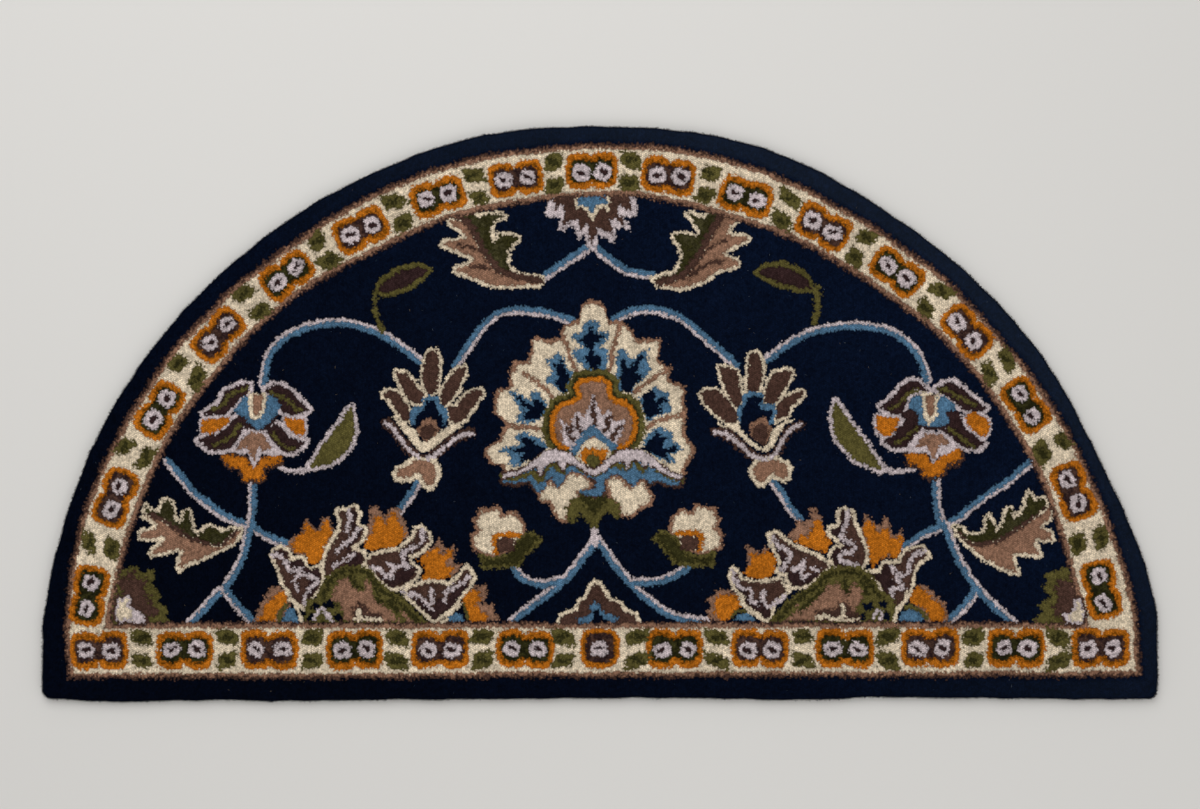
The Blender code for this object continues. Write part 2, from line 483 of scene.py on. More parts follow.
# %% [markdown]
# ## The vines
# Two strands, one blue and one lilac, run side by side and tie the flowers
# together. Each vine is a smooth line through a few places, and the side on which
# a tuft stands, left or right of the line as it is walked, picks its yarn.

# %% Vines
VINE_WIDTH, BLUE_WIDER = 11.0, 1.3
BLUE_LEFT, LILAC_LEFT = ("blue", "lilac"), ("lilac", "blue")
VINES = (
    # yarns on the left and the right, places along the way in millimetres
    (LILAC_LEFT, ((-415, 37), (-404, 76), (-371, 103), (-319, 113), (-275, 101), (-245, 83), (-219, 65))),
    (BLUE_LEFT, ((-177, 59), (-159, 85), (-142, 108), (-123, 123), (-98, 127), (-62, 123), (-34, 114))),
    (BLUE_LEFT, ((17, 114), (31, 122), (56, 128), (77, 126), (101, 117), (123, 99), (147, 78), (168, 59))),
    (LILAC_LEFT, ((205, 66), (227, 83), (250, 97), (280, 106), (319, 109), (352, 103), (378, 87), (395, 64),
                  (402, 40))),
    (BLUE_LEFT, ((-531, -57), (-503, -92), (-484, -108), (-464, -123), (-444, -132), (-429, -137))),
    (LILAC_LEFT, ((-429, -137), (-427, -110), (-427, -80))),
    (BLUE_LEFT, ((-427, -139), (-411, -149), (-395, -156), (-380, -161))),
    (BLUE_LEFT, ((-431, -139), (-437, -169), (-445, -189), (-457, -208), (-473, -224), (-484, -238),
                 (-502, -256))),
    (BLUE_LEFT, ((-461, -214), (-451, -228), (-441, -239), (-425, -256))),
    (LILAC_LEFT, ((530, -58), (503, -81), (472, -102), (456, -114), (441, -126), (425, -135))),
    (BLUE_LEFT, ((418, -135), (413, -110), (412, -78))),
    (LILAC_LEFT, ((422, -137), (399, -146), (384, -156), (370, -165))),
    (LILAC_LEFT, ((424, -135), (435, -167), (445, -187), (455, -203), (463, -215))),
    (LILAC_LEFT, ((463, -213), (454, -228), (442, -242), (424, -257))),
    (LILAC_LEFT, ((463, -213), (475, -227), (491, -242), (508, -257))),
    (BLUE_LEFT, ((-6, -154), (-20, -175), (-34, -193), (-48, -207), (-66, -222), (-87, -237), (-109, -255))),
    (LILAC_LEFT, ((-4, -154), (12, -176), (28, -195), (42, -211), (58, -226), (78, -241), (101, -251),
                  (130, -255))),
    (LILAC_LEFT, ((-108, -184), (-101, -195), (-88, -204), (-69, -208), (-48, -203))),
    (BLUE_LEFT, ((107, -187), (93, -198), (76, -205), (58, -206), (42, -205))),
    (LILAC_LEFT, ((-9, 206), (-24, 197), (-43, 185), (-55, 177), (-70, 168))),
    (BLUE_LEFT, ((-8, 206), (9, 192), (25, 180), (39, 173), (64, 169))),
    (LILAC_LEFT, ((-222, -84), (-233, -102), (-243, -117), (-252, -130))),
    (BLUE_LEFT, ((211, -83), (222, -98), (231, -112), (245, -129))),
)


def tuft_vines(cloth):
    """Each vine has one yarn on its left and the other on its right, and the blue is the wider."""
    for (left, right), places in VINES:
        ends = np.array(places, float)
        middle = (ends.min(0) + ends.max(0)) / 2.0
        patch = Patch(cloth, *middle, (ends.max(0) - ends.min(0)).max() / 2.0 + VINE_WIDTH)
        _, off, side = patch.along(ends - middle)
        patch.fill(left, VINE_WIDTH / 2.0 - off, rag=0.9)
        split = BLUE_WIDER if right == "blue" else -BLUE_WIDER
        patch.fill(right, np.minimum(VINE_WIDTH / 2.0 - off, split - side * off), rag=0.9)


# %% [markdown]
# ## Small leaves
# Two plain leaves hang on the vines at each side: an olive one with a plum heart,
# and a green one with a lilac edge. A leaf is a bent rib with a table of how far
# the blade reaches on each side of it.

# %% Small leaves
OLIVE_LEAVES = (
    # rib, stem, stem width
    (((-276, 148), (-251, 161), (-227, 172), (-207, 177)),
     ((-276, 143), (-277, 130), (-271, 113), (-266, 101)), 6.0),
    (((262, 153), (239, 166), (213, 173), (190, 173)), ((266, 156), (267, 134), (264, 112)), 9.0),
)
OLIVE_REACH = ((0.0, 4.0), (0.2, 14.0), (0.55, 17.0), (0.85, 12.0), (1.0, 3.0))
EDGED_LEAVES = (
    # rib from the stem to the tip, stem
    (((-353, -64), (-334, -50), (-315, -26), (-305, 8)),
     ((-395, -63), (-384, -70), (-366, -70), (-353, -65))),
    (((343, -66), (321, -47), (299, -20), (289, 14)), ((343, -66), (362, -70), (386, -68))),
)
EDGED_REACH = ((0.0, 3.0), (0.3, 12.5), (0.6, 13.5), (0.86, 7.0), (1.0, 1.0))


def tuft_small_leaves(cloth):
    """The stems first, then each blade's edge and its heart."""
    for rib, stem, width in OLIVE_LEAVES:
        patch = Patch(cloth, *rib[1], 95.0)
        local = np.array(rib, float) - rib[1]
        patch.fill("olive", patch.stroke(np.array(stem, float) - rib[1], width), rag=1.6)
        blade = patch.blade(local, OLIVE_REACH, OLIVE_REACH)
        patch.fill("olive", blade)
        patch.fill("plum", blade - 6.5)
    for rib, stem in EDGED_LEAVES:
        patch = Patch(cloth, *rib[1], 95.0)
        local = np.array(rib, float) - rib[1]
        patch.fill("lilac", patch.stroke(np.array(stem, float) - rib[1], 6.5), rag=1.0)
        blade = patch.blade(local, EDGED_REACH, EDGED_REACH)
        patch.fill("lilac", blade, grow=4.8, rag=1.2)
        patch.fill("olive", blade)


# %% [markdown]
# ## Lotus flowers
# Four lotus flowers in profile hang on the vines. The inner two have five brown
# petals edged in cream over a blue heart. The outer two spread two pairs of dark
# wings with orange between them. No two were tufted alike, so each has a table
# of its own: the corners of its patches of yarn, in millimetres from its middle.
# They were read off the photo, as were the vines, the leaves and the other
# flowers.
# Both flowers of a kind are then tufted by one function, from back to front.

# %% Inner lotuses
LEFT_LOTUS = {
    "petals": (
        ((2, 90), (10, 91), (13, 82), (13, 70), (11, 55), (9, 42), (2, 37), (-4, 44), (-7, 55), (-5, 70),
         (-2, 82)),
        ((34, 67), (45, 69), (45, 61), (39, 52), (38, 44), (28, 32), (17, 20), (15, 31), (17, 42), (27, 59)),
        ((64, 43), (66, 37), (56, 23), (44, 7), (34, 1), (26, 7), (25, 21), (34, 22), (40, 31), (53, 40)),
        ((-39, 63), (-28, 63), (-20, 55), (-13, 44), (-6, 38), (-7, 27), (-15, 26), (-25, 34), (-33, 47)),
        ((-49, 42), (-39, 40), (-32, 34), (-29, 27), (-21, 16), (-22, 7), (-29, 5), (-40, 20), (-47, 31),
         (-54, 37)),
    ),
    "blue": ((-21, -1), (-22, 17), (-18, 23), (-9, 23), (-6, 33), (2, 37), (12, 34), (15, 25), (23, 20),
             (25, 12), (22, -1), (2, -11)),
    "navy": ((-16, -2), (-13, 12), (-5, 17), (-2, 28), (6, 29), (9, 16), (16, 10), (18, -2), (2, -13)),
    "dome": ((-15, -5), (-7, 4), (2, 9), (10, 5), (15, -6), (9, -18), (-2, -23), (-11, -16)),
    "core": ((-10, -7), (-4, -1), (5, 0), (10, -7), (5, -16), (-2, -21), (-9, -16)),
    "cup": ((-45, 13), (-38, 9), (-29, 5), (-22, -1), (-15, -7), (-10, -18), (-2, -22), (7, -15),
            (17, -6), (27, -1), (37, 4), (45, -1), (33, -9), (23, -17), (12, -27), (2, -34), (-9, -36),
            (-18, -27), (-29, -11), (-38, 0)),
    "ply": ((-50, 7), (-40, -1), (-32, -15), (-22, -27), (-10, -38), (2, -39), (15, -27), (27, -16),
            (39, -9), (50, -4)),
    "lilac": (
        ((-52, 2), (-43, -5), (-36, -16), (-29, -26), (-21, -34), (-12, -40)),
        ((53, -10), (40, -13), (29, -20), (20, -28), (11, -37), (-1, -42)),
    ),
    "calyx": ((-18, -45), (-12, -43), (-2, -44), (7, -48), (11, -58), (7, -69), (2, -76), (-4, -72),
              (-9, -61), (-15, -60), (-21, -65), (-31, -65), (-38, -63), (-36, -56), (-27, -53)),
}
RIGHT_LOTUS = {
    "petals": (
        ((-9, 87), (-1, 88), (4, 80), (6, 70), (4, 53), (1, 40), (-7, 37), (-13, 42), (-11, 60), (-10, 77)),
        ((-47, 71), (-36, 70), (-26, 66), (-22, 54), (-21, 40), (-20, 29), (-25, 21), (-33, 29),
         (-38, 42), (-43, 56)),
        ((-69, 38), (-60, 43), (-50, 42), (-40, 33), (-31, 21), (-26, 10), (-27, 1), (-37, 2), (-50, 12),
         (-64, 26)),
        ((21, 63), (32, 66), (42, 65), (39, 54), (31, 42), (22, 28), (13, 23), (7, 29), (11, 44), (16, 56)),
        ((25, 25), (33, 33), (44, 38), (54, 40), (54, 34), (40, 22), (37, 12), (27, 9), (21, 5), (22, 17)),
    ),
    "blue": ((-26, 4), (-27, 17), (-21, 23), (-18, 37), (-10, 40), (6, 39), (7, 26), (21, 25), (23, 15),
             (18, 1), (-1, -6), (-20, -4)),
    "navy": ((-21, -2), (-20, 12), (-15, 23), (-12, 31), (-2, 34), (4, 31), (0, 23), (5, 17), (16, 16),
             (13, 1), (-2, -11)),
    "dome": ((-10, 0), (-2, 7), (7, 10), (13, 2), (18, -7), (13, -18), (7, -27), (-1, -21), (-10, -11)),
    "core": ((-6, -4), (0, 1), (7, 1), (12, -7), (12, -17), (7, -26), (0, -22), (-6, -13)),
    "cup": ((-50, 4), (-40, 0), (-25, 1), (-15, -11), (-4, -22), (6, -27), (12, -23), (15, -9), (23, -1),
            (32, 6), (50, 9), (43, 2), (33, -2), (27, -13), (20, -29), (10, -34), (-2, -32), (-15, -21),
            (-28, -11), (-50, -2)),
    "ply": ((-50, -5), (-38, -7), (-26, -16), (-13, -27), (-2, -36), (10, -39), (20, -33), (28, -20),
            (34, -7), (50, 1)),
    "lilac": (
        ((-52, -9), (-40, -11), (-28, -20), (-18, -28), (-9, -37), (10, -43)),
        ((52, -1), (40, -7), (33, -15), (28, -25), (23, -34), (15, -42)),
    ),
    "calyx": ((-1, -47), (10, -44), (22, -44), (32, -48), (37, -54), (36, -64), (31, -67), (25, -64),
              (20, -60), (13, -64), (7, -71), (1, -72), (-4, -64), (-7, -56)),
}


def tuft_inner_lotus(cloth, x, y, flower):
    """Petals edged in cream, the stepped blue heart with its dome, then the cream cup over a brown
    ply and a lilac one, and the two-lobed calyx under it."""
    patch = Patch(cloth, x, y, 100.0)
    patch.lines("brown", flower["lilac"], 10.4, rag=1.8)
    patch.areas("brown", flower["petals"], edge="cream", edge_mm=4.4, grow=0.7)
    patch.areas("blue", [flower["blue"]])
    patch.areas("navy", [flower["navy"]], grow=1.2)
    patch.areas("dusty", [flower["dome"]])
    patch.areas("dusty", [flower["calyx"]], edge="cream", edge_mm=5.8)
    patch.areas("cream", [flower["cup"]], grow=-0.8)
    patch.areas("brown", [flower["core"]])
    patch.lines("brown", [flower["ply"]], 4.6, rag=1.2)
    patch.lines("lilac", flower["lilac"], 5.4)


# %% Outer lotuses
LEFT_WINGED_LOTUS = {
    "wings": (
        ((-63, 13), (-50, 21), (-43, 28), (-36, 40), (-26, 45), (-15, 49), (-6, 49), (-6, 38), (-17, 31),
         (-27, 21), (-37, 11), (-59, 10)),
        ((12, 42), (21, 48), (33, 48), (44, 40), (55, 29), (67, 18), (60, 13), (44, 11), (34, 16),
         (29, 26), (21, 32)),
        ((-69, -20), (-58, -16), (-45, -11), (-34, -4), (-27, 6), (-20, 10), (-9, 2), (-13, -5),
         (-20, -17), (-29, -29), (-43, -33), (-56, -32)),
        ((13, -6), (21, -2), (28, 1), (37, -9), (45, -17), (56, -21), (65, -21), (59, -29), (48, -36),
         (34, -34), (23, -23)),
    ),
    "stripes": (
        ((-52, 18), (-40, 23), (-33, 33), (-23, 39), (-9, 44)),
        ((20, 39), (31, 34), (42, 28), (49, 20), (58, 16)),
        ((-50, -27), (-38, -21), (-28, -15), (-23, -7), (-18, -1)),
        ((22, -9), (28, -20), (37, -28), (48, -31)),
    ),
    "blue": ((-13, 34), (18, 36), (27, 31), (33, 22), (23, 7), (12, -4), (4, -10), (-6, 1), (-15, 11),
             (-26, 17), (-20, 26)),
    "brown": ((-22, 10), (-10, 18), (15, 15), (28, 12), (25, 0), (4, -12), (-13, -5)),
    "slot_edge": ((-9, 38), (16, 38), (15, 26), (12, 12), (5, 5), (-5, 7), (-7, 20)),
    "slot": ((-2, 36), (10, 36), (10, 23), (7, 12), (1, 10), (-2, 18)),
    "eyes": (
        ((-63, 4), (-50, 5), (-32, 7), (-34, 1), (-43, -6), (-54, -12), (-63, -9)),
        ((38, 6), (52, 6), (60, 5), (61, -5), (60, -13), (54, -13), (45, -7)),
    ),
    "bell_edge": ((-7, -5), (-13, -12), (-22, -25), (-29, -34), (-17, -38), (-9, -36), (-6, -45),
                  (-1, -54), (4, -44), (9, -37), (26, -39), (38, -39), (31, -32), (22, -22), (12, -10)),
    "bell": ((-4, -9), (10, -12), (16, -21), (21, -31), (10, -32), (5, -28), (1, -38), (-1, -45),
             (-5, -38), (-9, -27), (-16, -31), (-23, -32), (-18, -22), (-12, -15)),
    "crown": ((-37, -38), (-22, -39), (-10, -42), (-4, -52), (4, -50), (7, -43), (20, -40), (34, -38),
              (32, -47), (17, -52), (12, -56), (11, -65), (6, -70), (-12, -70), (-16, -61), (-18, -54),
              (-31, -53), (-38, -45)),
}
RIGHT_WINGED_LOTUS = {
    "wings": (
        ((-63, 18), (-54, 23), (-44, 32), (-36, 42), (-22, 50), (-13, 47), (-2, 37), (-18, 37), (-27, 31),
         (-32, 20), (-36, 10), (-45, 7), (-58, 12)),
        ((5, 40), (15, 45), (29, 48), (39, 40), (53, 28), (69, 16), (60, 12), (43, 13), (31, 21),
         (21, 29), (9, 36)),
        ((-58, -25), (-49, -18), (-38, -7), (-28, 4), (-20, 0), (-11, -10), (-22, -21), (-33, -33),
         (-48, -33)),
        ((12, -10), (21, -7), (28, 1), (36, 4), (44, -10), (55, -18), (65, -26), (59, -33), (45, -34),
         (32, -26), (21, -17)),
    ),
    "stripes": (
        ((-50, 15), (-40, 21), (-33, 27), (-26, 34), (-17, 38)),
        ((10, 39), (20, 38), (31, 32), (40, 27), (54, 20)),
        ((-42, -26), (-32, -21), (-25, -15), (-17, -9)),
        ((23, -9), (32, -16), (42, -25), (52, -31)),
    ),
    "blue": ((-20, 31), (16, 31), (31, 20), (28, 13), (18, 11), (23, -2), (11, -7), (-15, -6), (-17, 10),
             (-28, 16), (-27, 23)),
    "brown": ((-38, 9), (-18, 16), (17, 16), (33, 12), (38, 2), (23, -9), (-1, -12), (-28, -4)),
    "slot_edge": ((-12, 36), (11, 32), (9, 20), (9, 6), (4, -1), (-4, -5), (-9, 4), (-10, 15)),
    "slot": ((-7, 32), (6, 32), (5, 20), (4, 7), (-2, 4), (-5, 15)),
    "eyes": (
        ((-65, 6), (-55, 4), (-40, 1), (-43, -7), (-50, -16), (-56, -18), (-63, -13), (-66, -4)),
        ((43, 5), (52, 9), (61, 7), (69, 1), (70, -9), (66, -17), (59, -16), (48, -6)),
    ),
    "bell_edge": ((-2, -12), (-15, -18), (-25, -28), (-31, -37), (-20, -39), (-7, -39), (-2, -45),
                  (1, -53), (7, -49), (11, -42), (27, -37), (34, -32), (25, -22), (12, -13)),
    "bell": ((-6, -16), (13, -16), (21, -25), (22, -29), (11, -29), (6, -37), (5, -45), (1, -49),
             (-1, -40), (-6, -31), (-18, -33), (-15, -23)),
    "crown": ((-31, -37), (-21, -36), (-15, -42), (-6, -39), (-1, -49), (6, -49), (12, -39), (23, -38),
              (31, -31), (36, -33), (37, -43), (32, -50), (21, -52), (16, -61), (10, -67), (0, -71),
              (-7, -67), (-13, -55), (-25, -52), (-29, -44)),
}


def tuft_outer_lotus(cloth, x, y, flower):
    """Wings edged in lilac with a green stripe, orange eyes between them, the blue body with its
    slot, and the bell over an orange crown."""
    patch = Patch(cloth, x, y, 100.0)
    patch.areas("orange", [flower["crown"]], edge="brown", edge_mm=4.0, rag=1.8)
    patch.areas("plum", flower["wings"] + flower["eyes"], edge="lilac", edge_mm=5.0)
    patch.areas("plum", [flower["brown"]])
    patch.areas("orange", flower["eyes"], grow=1.4)
    patch.lines("olive", flower["stripes"], 4.6, rag=1.3)
    patch.areas("blue", [flower["blue"]])
    patch.areas("cream", [flower["slot_edge"]])
    patch.areas("dusty", [flower["slot"]])
    patch.areas("lilac", [flower["bell_edge"]])
    patch.areas("dusty", [flower["bell"]])


# %% [markdown]
# ## Acanthus leaves
# Four broad leaves with torn edges: a green half with cream lobes on one side of
# the rib, and a dusty half with long teeth on the other. No short formula gives
# such a form, so each half is a list of its corners, at the root and tip of every
# tooth.

# %% Acanthus leaves
UPPER_LEFT_LEAF = {
    "green": ((-110, 83), (-99, 89), (-88, 91), (-84, 84), (-81, 83), (-76, 87), (-63, 88), (-54, 87),
              (-52, 84), (-59, 83), (-65, 79), (-69, 69), (-68, 58), (-65, 53), (-58, 63), (-48, 63),
              (-37, 61), (-34, 57), (-40, 53), (-44, 48), (-49, 43), (-47, 38), (-48, 28), (-45, 21),
              (-38, 16), (-20, 11), (-6, 11), (-7, 6), (-28, 9), (-48, 12), (-63, 19), (-71, 32),
              (-81, 44), (-89, 63), (-97, 75)),
    "dusty": ((-120, 81), (-108, 81), (-97, 75), (-89, 63), (-81, 44), (-71, 32), (-63, 19), (-48, 12),
              (-28, 9), (-7, 6), (-9, 2), (-28, 2), (-48, 0), (-58, -1), (-79, 5), (-95, 12), (-112, 18),
              (-110, 21), (-95, 26), (-89, 32), (-93, 36), (-105, 40), (-120, 48), (-126, 51), (-122, 55),
              (-110, 55), (-99, 58), (-99, 63), (-110, 71), (-118, 77)),
    "veins": (((-108, 50), (-95, 48), (-81, 44)), ((-95, 24), (-79, 23), (-63, 19))),
    "rib": 6.5,
}
UPPER_RIGHT_LEAF = {
    "green": ((1, 4), (12, 7), (26, 10), (34, 20), (37, 32), (34, 45), (27, 53), (28, 58), (43, 59),
              (55, 56), (59, 59), (56, 67), (49, 78), (43, 84), (47, 85), (55, 82), (65, 78), (72, 85),
              (75, 94), (87, 93), (96, 87), (85, 81), (77, 65), (67, 47), (57, 30), (43, 10), (26, 2),
              (8, -2)),
    "dusty": ((96, 87), (104, 82), (106, 77), (96, 71), (92, 61), (100, 57), (114, 57), (118, 53),
              (106, 47), (92, 40), (87, 34), (96, 30), (104, 28), (106, 22), (98, 18), (83, 16), (67, 6),
              (51, -1), (34, -7), (18, -4), (8, -2), (26, 2), (43, 10), (57, 30), (67, 47), (77, 65),
              (85, 81)),
    "veins": (((43, 6), (59, 18), (71, 24), (85, 26)), ((65, 38), (77, 45), (90, 51))),
    "rib": 6.5,
}
LOWER_LEFT_LEAF = {
    "green": ((-115, 28), (-116, 20), (-108, 15), (-93, 9), (-81, 0), (-66, -9), (-51, -17), (-35, -21),
              (-22, -22), (-18, -14), (-12, -10), (-5, -2), (-9, -1), (-21, -6), (-30, -1), (-42, 2),
              (-45, -4), (-51, -8), (-58, -2), (-61, 11), (-63, 21), (-68, 19), (-70, 9), (-74, 6),
              (-79, 10), (-83, 21), (-84, 32), (-90, 35), (-95, 33), (-97, 21), (-103, 18), (-109, 21)),
    "dusty": ((-117, 15), (-108, 15), (-93, 8), (-81, 0), (-66, -10), (-51, -17), (-35, -22), (-22, -23),
              (-15, -16), (-5, -6), (1, -2), (-1, -10), (-9, -19), (-24, -27), (-41, -35), (-55, -40),
              (-66, -44), (-72, -50), (-75, -46), (-72, -35), (-68, -29), (-76, -25), (-87, -27),
              (-104, -31), (-109, -31), (-101, -23), (-91, -14), (-95, -10), (-110, -13), (-121, -12),
              (-121, -6), (-108, -2), (-100, 1), (-106, 9)),
    "veins": (),
    "rib": 3.6,
}
LOWER_RIGHT_LEAF = {
    "green": ((0, 0), (8, -11), (17, -20), (32, -23), (51, -19), (69, -10), (87, 3), (101, 13), (115, 27),
              (111, 35), (98, 29), (94, 38), (91, 40), (89, 26), (81, 13), (74, 7), (69, 21), (66, 20),
              (60, -2), (52, -8), (49, 1), (44, 12), (41, 10), (40, -2), (32, -11), (17, -11), (11, -5)),
    "dusty": ((4, -10), (17, -21), (32, -24), (51, -20), (69, -11), (87, 1), (103, 12), (118, 24),
              (120, 16), (118, 10), (109, 4), (106, -2), (118, -8), (121, -17), (112, -17), (101, -16),
              (98, -23), (106, -36), (87, -34), (72, -33), (71, -39), (77, -57), (69, -56), (57, -51),
              (38, -40), (23, -28)),
    "veins": (),
    "rib": 3.6,
}
ACANTHUS_EDGE = 4.3


def tuft_acanthus(cloth, x, y, leaf):
    """The cream edge round both halves, the dusty half, the green one, and a dark rib where the two
    meet: every tuft that is near to both of them."""
    patch = Patch(cloth, x, y, 160.0)
    halves = [leaf["dusty"], leaf["green"]]
    patch.areas("dusty", halves, edge="cream", edge_mm=ACANTHUS_EDGE)
    dusty, green = (patch.corners(half) for half in halves)
    patch.fill("sage", green)
    patch.fill("moss", np.minimum(green, 3.2 * (0.25 + cloth_noise(patch.u, patch.v, 14.0, 31))), rag=1.6)
    patch.fill("brown", np.minimum(green + 2.6, dusty + leaf["rib"]), rag=1.3)
    patch.lines("brown", leaf["veins"], 4.0, rag=1.4)


# %% [markdown]
# ## The great palmettes at the foot
# Left and right of the middle a half flower rises from the straight border: a green
# dome, four curled petals edged in cream, and orange tongues with a dusty fringe
# between them. Each petal is brown on its outer side and plum on its inner side,
# with a ragged lilac line between the two. The patches overlap, so the order
# matters: tongues first, then petals, then the dome in front.

# %% Great palmettes
LEFT_PALMETTE = {
    "fringes": (
        ((-126, -2), (-119, 17), (-112, 29), (-101, 45), (-82, 39), (-77, 27), (-92, -2)),
        ((-85, 88), (-81, 102), (-67, 110), (-61, 128), (-53, 120), (-47, 114), (-39, 128), (-32, 130),
         (-26, 118), (-28, 98), (-40, 74)),
        ((10, 94), (13, 107), (20, 128), (18, 142), (26, 142), (36, 129), (48, 141), (55, 135), (64, 118),
         (65, 103), (43, 88)),
        ((77, 76), (85, 86), (98, 97), (104, 104), (109, 88), (120, 96), (124, 88), (119, 74), (131, 71),
         (124, 59), (104, 49)),
        ((126, 34), (146, 42), (159, 44), (162, 29), (153, 23), (167, 22), (170, 11), (178, 1), (141, -2)),
    ),
    "tongues": (
        ((-123, -2), (-114, 11), (-108, 22), (-97, 32), (-88, 37), (-82, 34), (-85, 25), (-94, 12),
         (-101, -2)),
        ((-78, 91), (-76, 101), (-65, 110), (-61, 121), (-54, 115), (-45, 109), (-38, 123), (-33, 124),
         (-29, 110), (-36, 93), (-42, 74), (-50, 69), (-58, 74), (-61, 83)),
        ((10, 93), (13, 102), (21, 108), (25, 126), (29, 130), (37, 120), (44, 132), (50, 129), (56, 118),
         (61, 107), (55, 96), (42, 90), (33, 93), (20, 87)),
        ((77, 76), (90, 86), (99, 92), (104, 81), (119, 90), (118, 80), (109, 70), (120, 64), (114, 54),
         (102, 49), (82, 50), (85, 64)),
        ((128, 32), (136, 37), (151, 37), (153, 27), (146, 20), (153, 12), (163, 6), (159, 0), (141, -1),
         (132, 17)),
    ),
    "petals": (
        ((-102, 80), (-99, 88), (-91, 90), (-83, 85), (-80, 76), (-64, 78), (-63, 70), (-58, 64),
         (-45, 66), (-40, 56), (-43, 44), (-55, 29), (-63, 18), (-75, 27), (-86, 45), (-94, 66)),
        ((-22, 136), (-9, 137), (-1, 140), (4, 131), (2, 118), (12, 113), (9, 103), (-4, 93), (-6, 87),
         (9, 85), (12, 76), (2, 65), (-16, 64), (-29, 55), (-37, 56), (-38, 72), (-34, 88), (-26, 101),
         (-18, 112), (-16, 125)),
        ((13, 74), (21, 81), (37, 85), (53, 88), (61, 94), (72, 103), (75, 113), (81, 115), (90, 108),
         (90, 99), (80, 88), (65, 81), (67, 71), (76, 64), (75, 56), (66, 49), (55, 42), (43, 42),
         (28, 54), (18, 66)),
        ((61, 37), (74, 43), (92, 48), (117, 44), (126, 52), (132, 61), (136, 66), (144, 55), (139, 44),
         (128, 34), (123, 25), (117, 15), (109, 2), (98, 1), (86, 12), (74, 23)),
    ),
    "plum": (
        ((-98, 87), (-87, 87), (-80, 75), (-65, 77), (-61, 66), (-44, 64), (-42, 49), (-58, 27),
         (-61, 42), (-54, 55), (-67, 63), (-78, 65), (-86, 78)),
        ((-5, 137), (1, 132), (1, 117), (11, 112), (-5, 94), (-7, 86), (10, 82), (9, 74), (-4, 65),
         (-13, 69), (-4, 81), (-12, 91), (-1, 110), (-7, 118)),
        ((82, 112), (88, 105), (81, 91), (65, 81), (67, 71), (76, 63), (65, 49), (45, 42), (29, 54),
         (38, 59), (49, 59), (60, 69), (60, 81), (77, 93)),
        ((67, 31), (85, 25), (94, 16), (101, 29), (112, 25), (117, 37), (129, 42), (141, 54), (136, 42),
         (123, 25), (109, 4), (97, 2), (82, 15)),
    ),
    "streaks": (
        ((-101, 82), (-91, 80), (-85, 72), (-80, 64), (-67, 66)),
        ((-69, 60), (-75, 52), (-72, 40)),
        ((-64, 58), (-53, 56), (-47, 50), (-56, 42), (-61, 34), (-63, 22)),
        ((-7, 136), (-6, 123), (-11, 112)),
        ((4, 113), (-6, 101), (-17, 93), (-23, 87)),
        ((-2, 82), (-13, 76), (-26, 67)),
        ((82, 112), (82, 101), (72, 92), (59, 85), (59, 76), (65, 66)),
        ((40, 72), (50, 67), (60, 74)),
        ((21, 67), (32, 64), (38, 56)),
        ((48, 67), (44, 55)),
        ((139, 55), (128, 45), (114, 39), (109, 26)),
        ((60, 36), (75, 32), (85, 25), (93, 16)),
        ((93, 39), (94, 26)),
    ),
    "dome": ((-60, 0), (-58, 26), (-44, 31), (-37, 48), (-27, 60), (-12, 67), (7, 67), (18, 63), (31, 45),
             (45, 37), (58, 27), (70, 15), (87, 0)),
    "dusty": (
        ((-31, 20), (-27, 37), (-18, 50), (-9, 55), (-4, 48), (4, 39), (10, 40), (13, 54), (20, 45),
         (23, 27), (45, 12), (55, 0), (-12, 0), (-21, 12)),
        ((53, 15), (60, 13), (72, 0), (63, 0)),
    ),
    "moss": (
        ((-39, 31), (-31, 48), (-18, 60), (-4, 63), (9, 63), (21, 55), (31, 40), (45, 31), (60, 18),
         (77, 1)),
        ((-6, 55), (2, 44), (9, 42)),
        ((23, 52), (27, 37), (29, 26)),
        ((40, 27), (50, 15)),
    ),
    "hollow": ((-60, 22), (-45, 27), (-18, 23), (-15, 12), (-16, 0), (-64, 0)),
    "seeds": ((-48, 18, 6, 4), (-32, 20, 7, 5), (-55, 6, 5, 5), (-21, 4, 5, 5)),
    "chevron": ((-50, 5), (-43, 16), (-36, 10), (-27, 0)),
    "nest": ((-4, 0), (-4, 17), (4, 23), (13, 20), (18, 11), (32, 9), (33, 0)),
    "crumb": (((4, 13), (4, 0)), ((-1, 4), (31, 2))),
    "foot_green": ((-98, -2), (-97, 12), (-87, 23), (-80, 25), (-90, 12), (-91, -2)),
    "foot_blue": (
        ((-92, -2), (-87, 12), (-82, 18), (-75, 17), (-69, -2)),
        ((114, 0), (114, 7), (123, 11), (132, 7), (132, -1)),
    ),
    "foot_cream": (((-82, 29), (-74, 22), (-66, 0)), ((99, 1), (114, 12), (129, 21))),
    "foot_olive": (((132, 20), (136, 5)),),
}
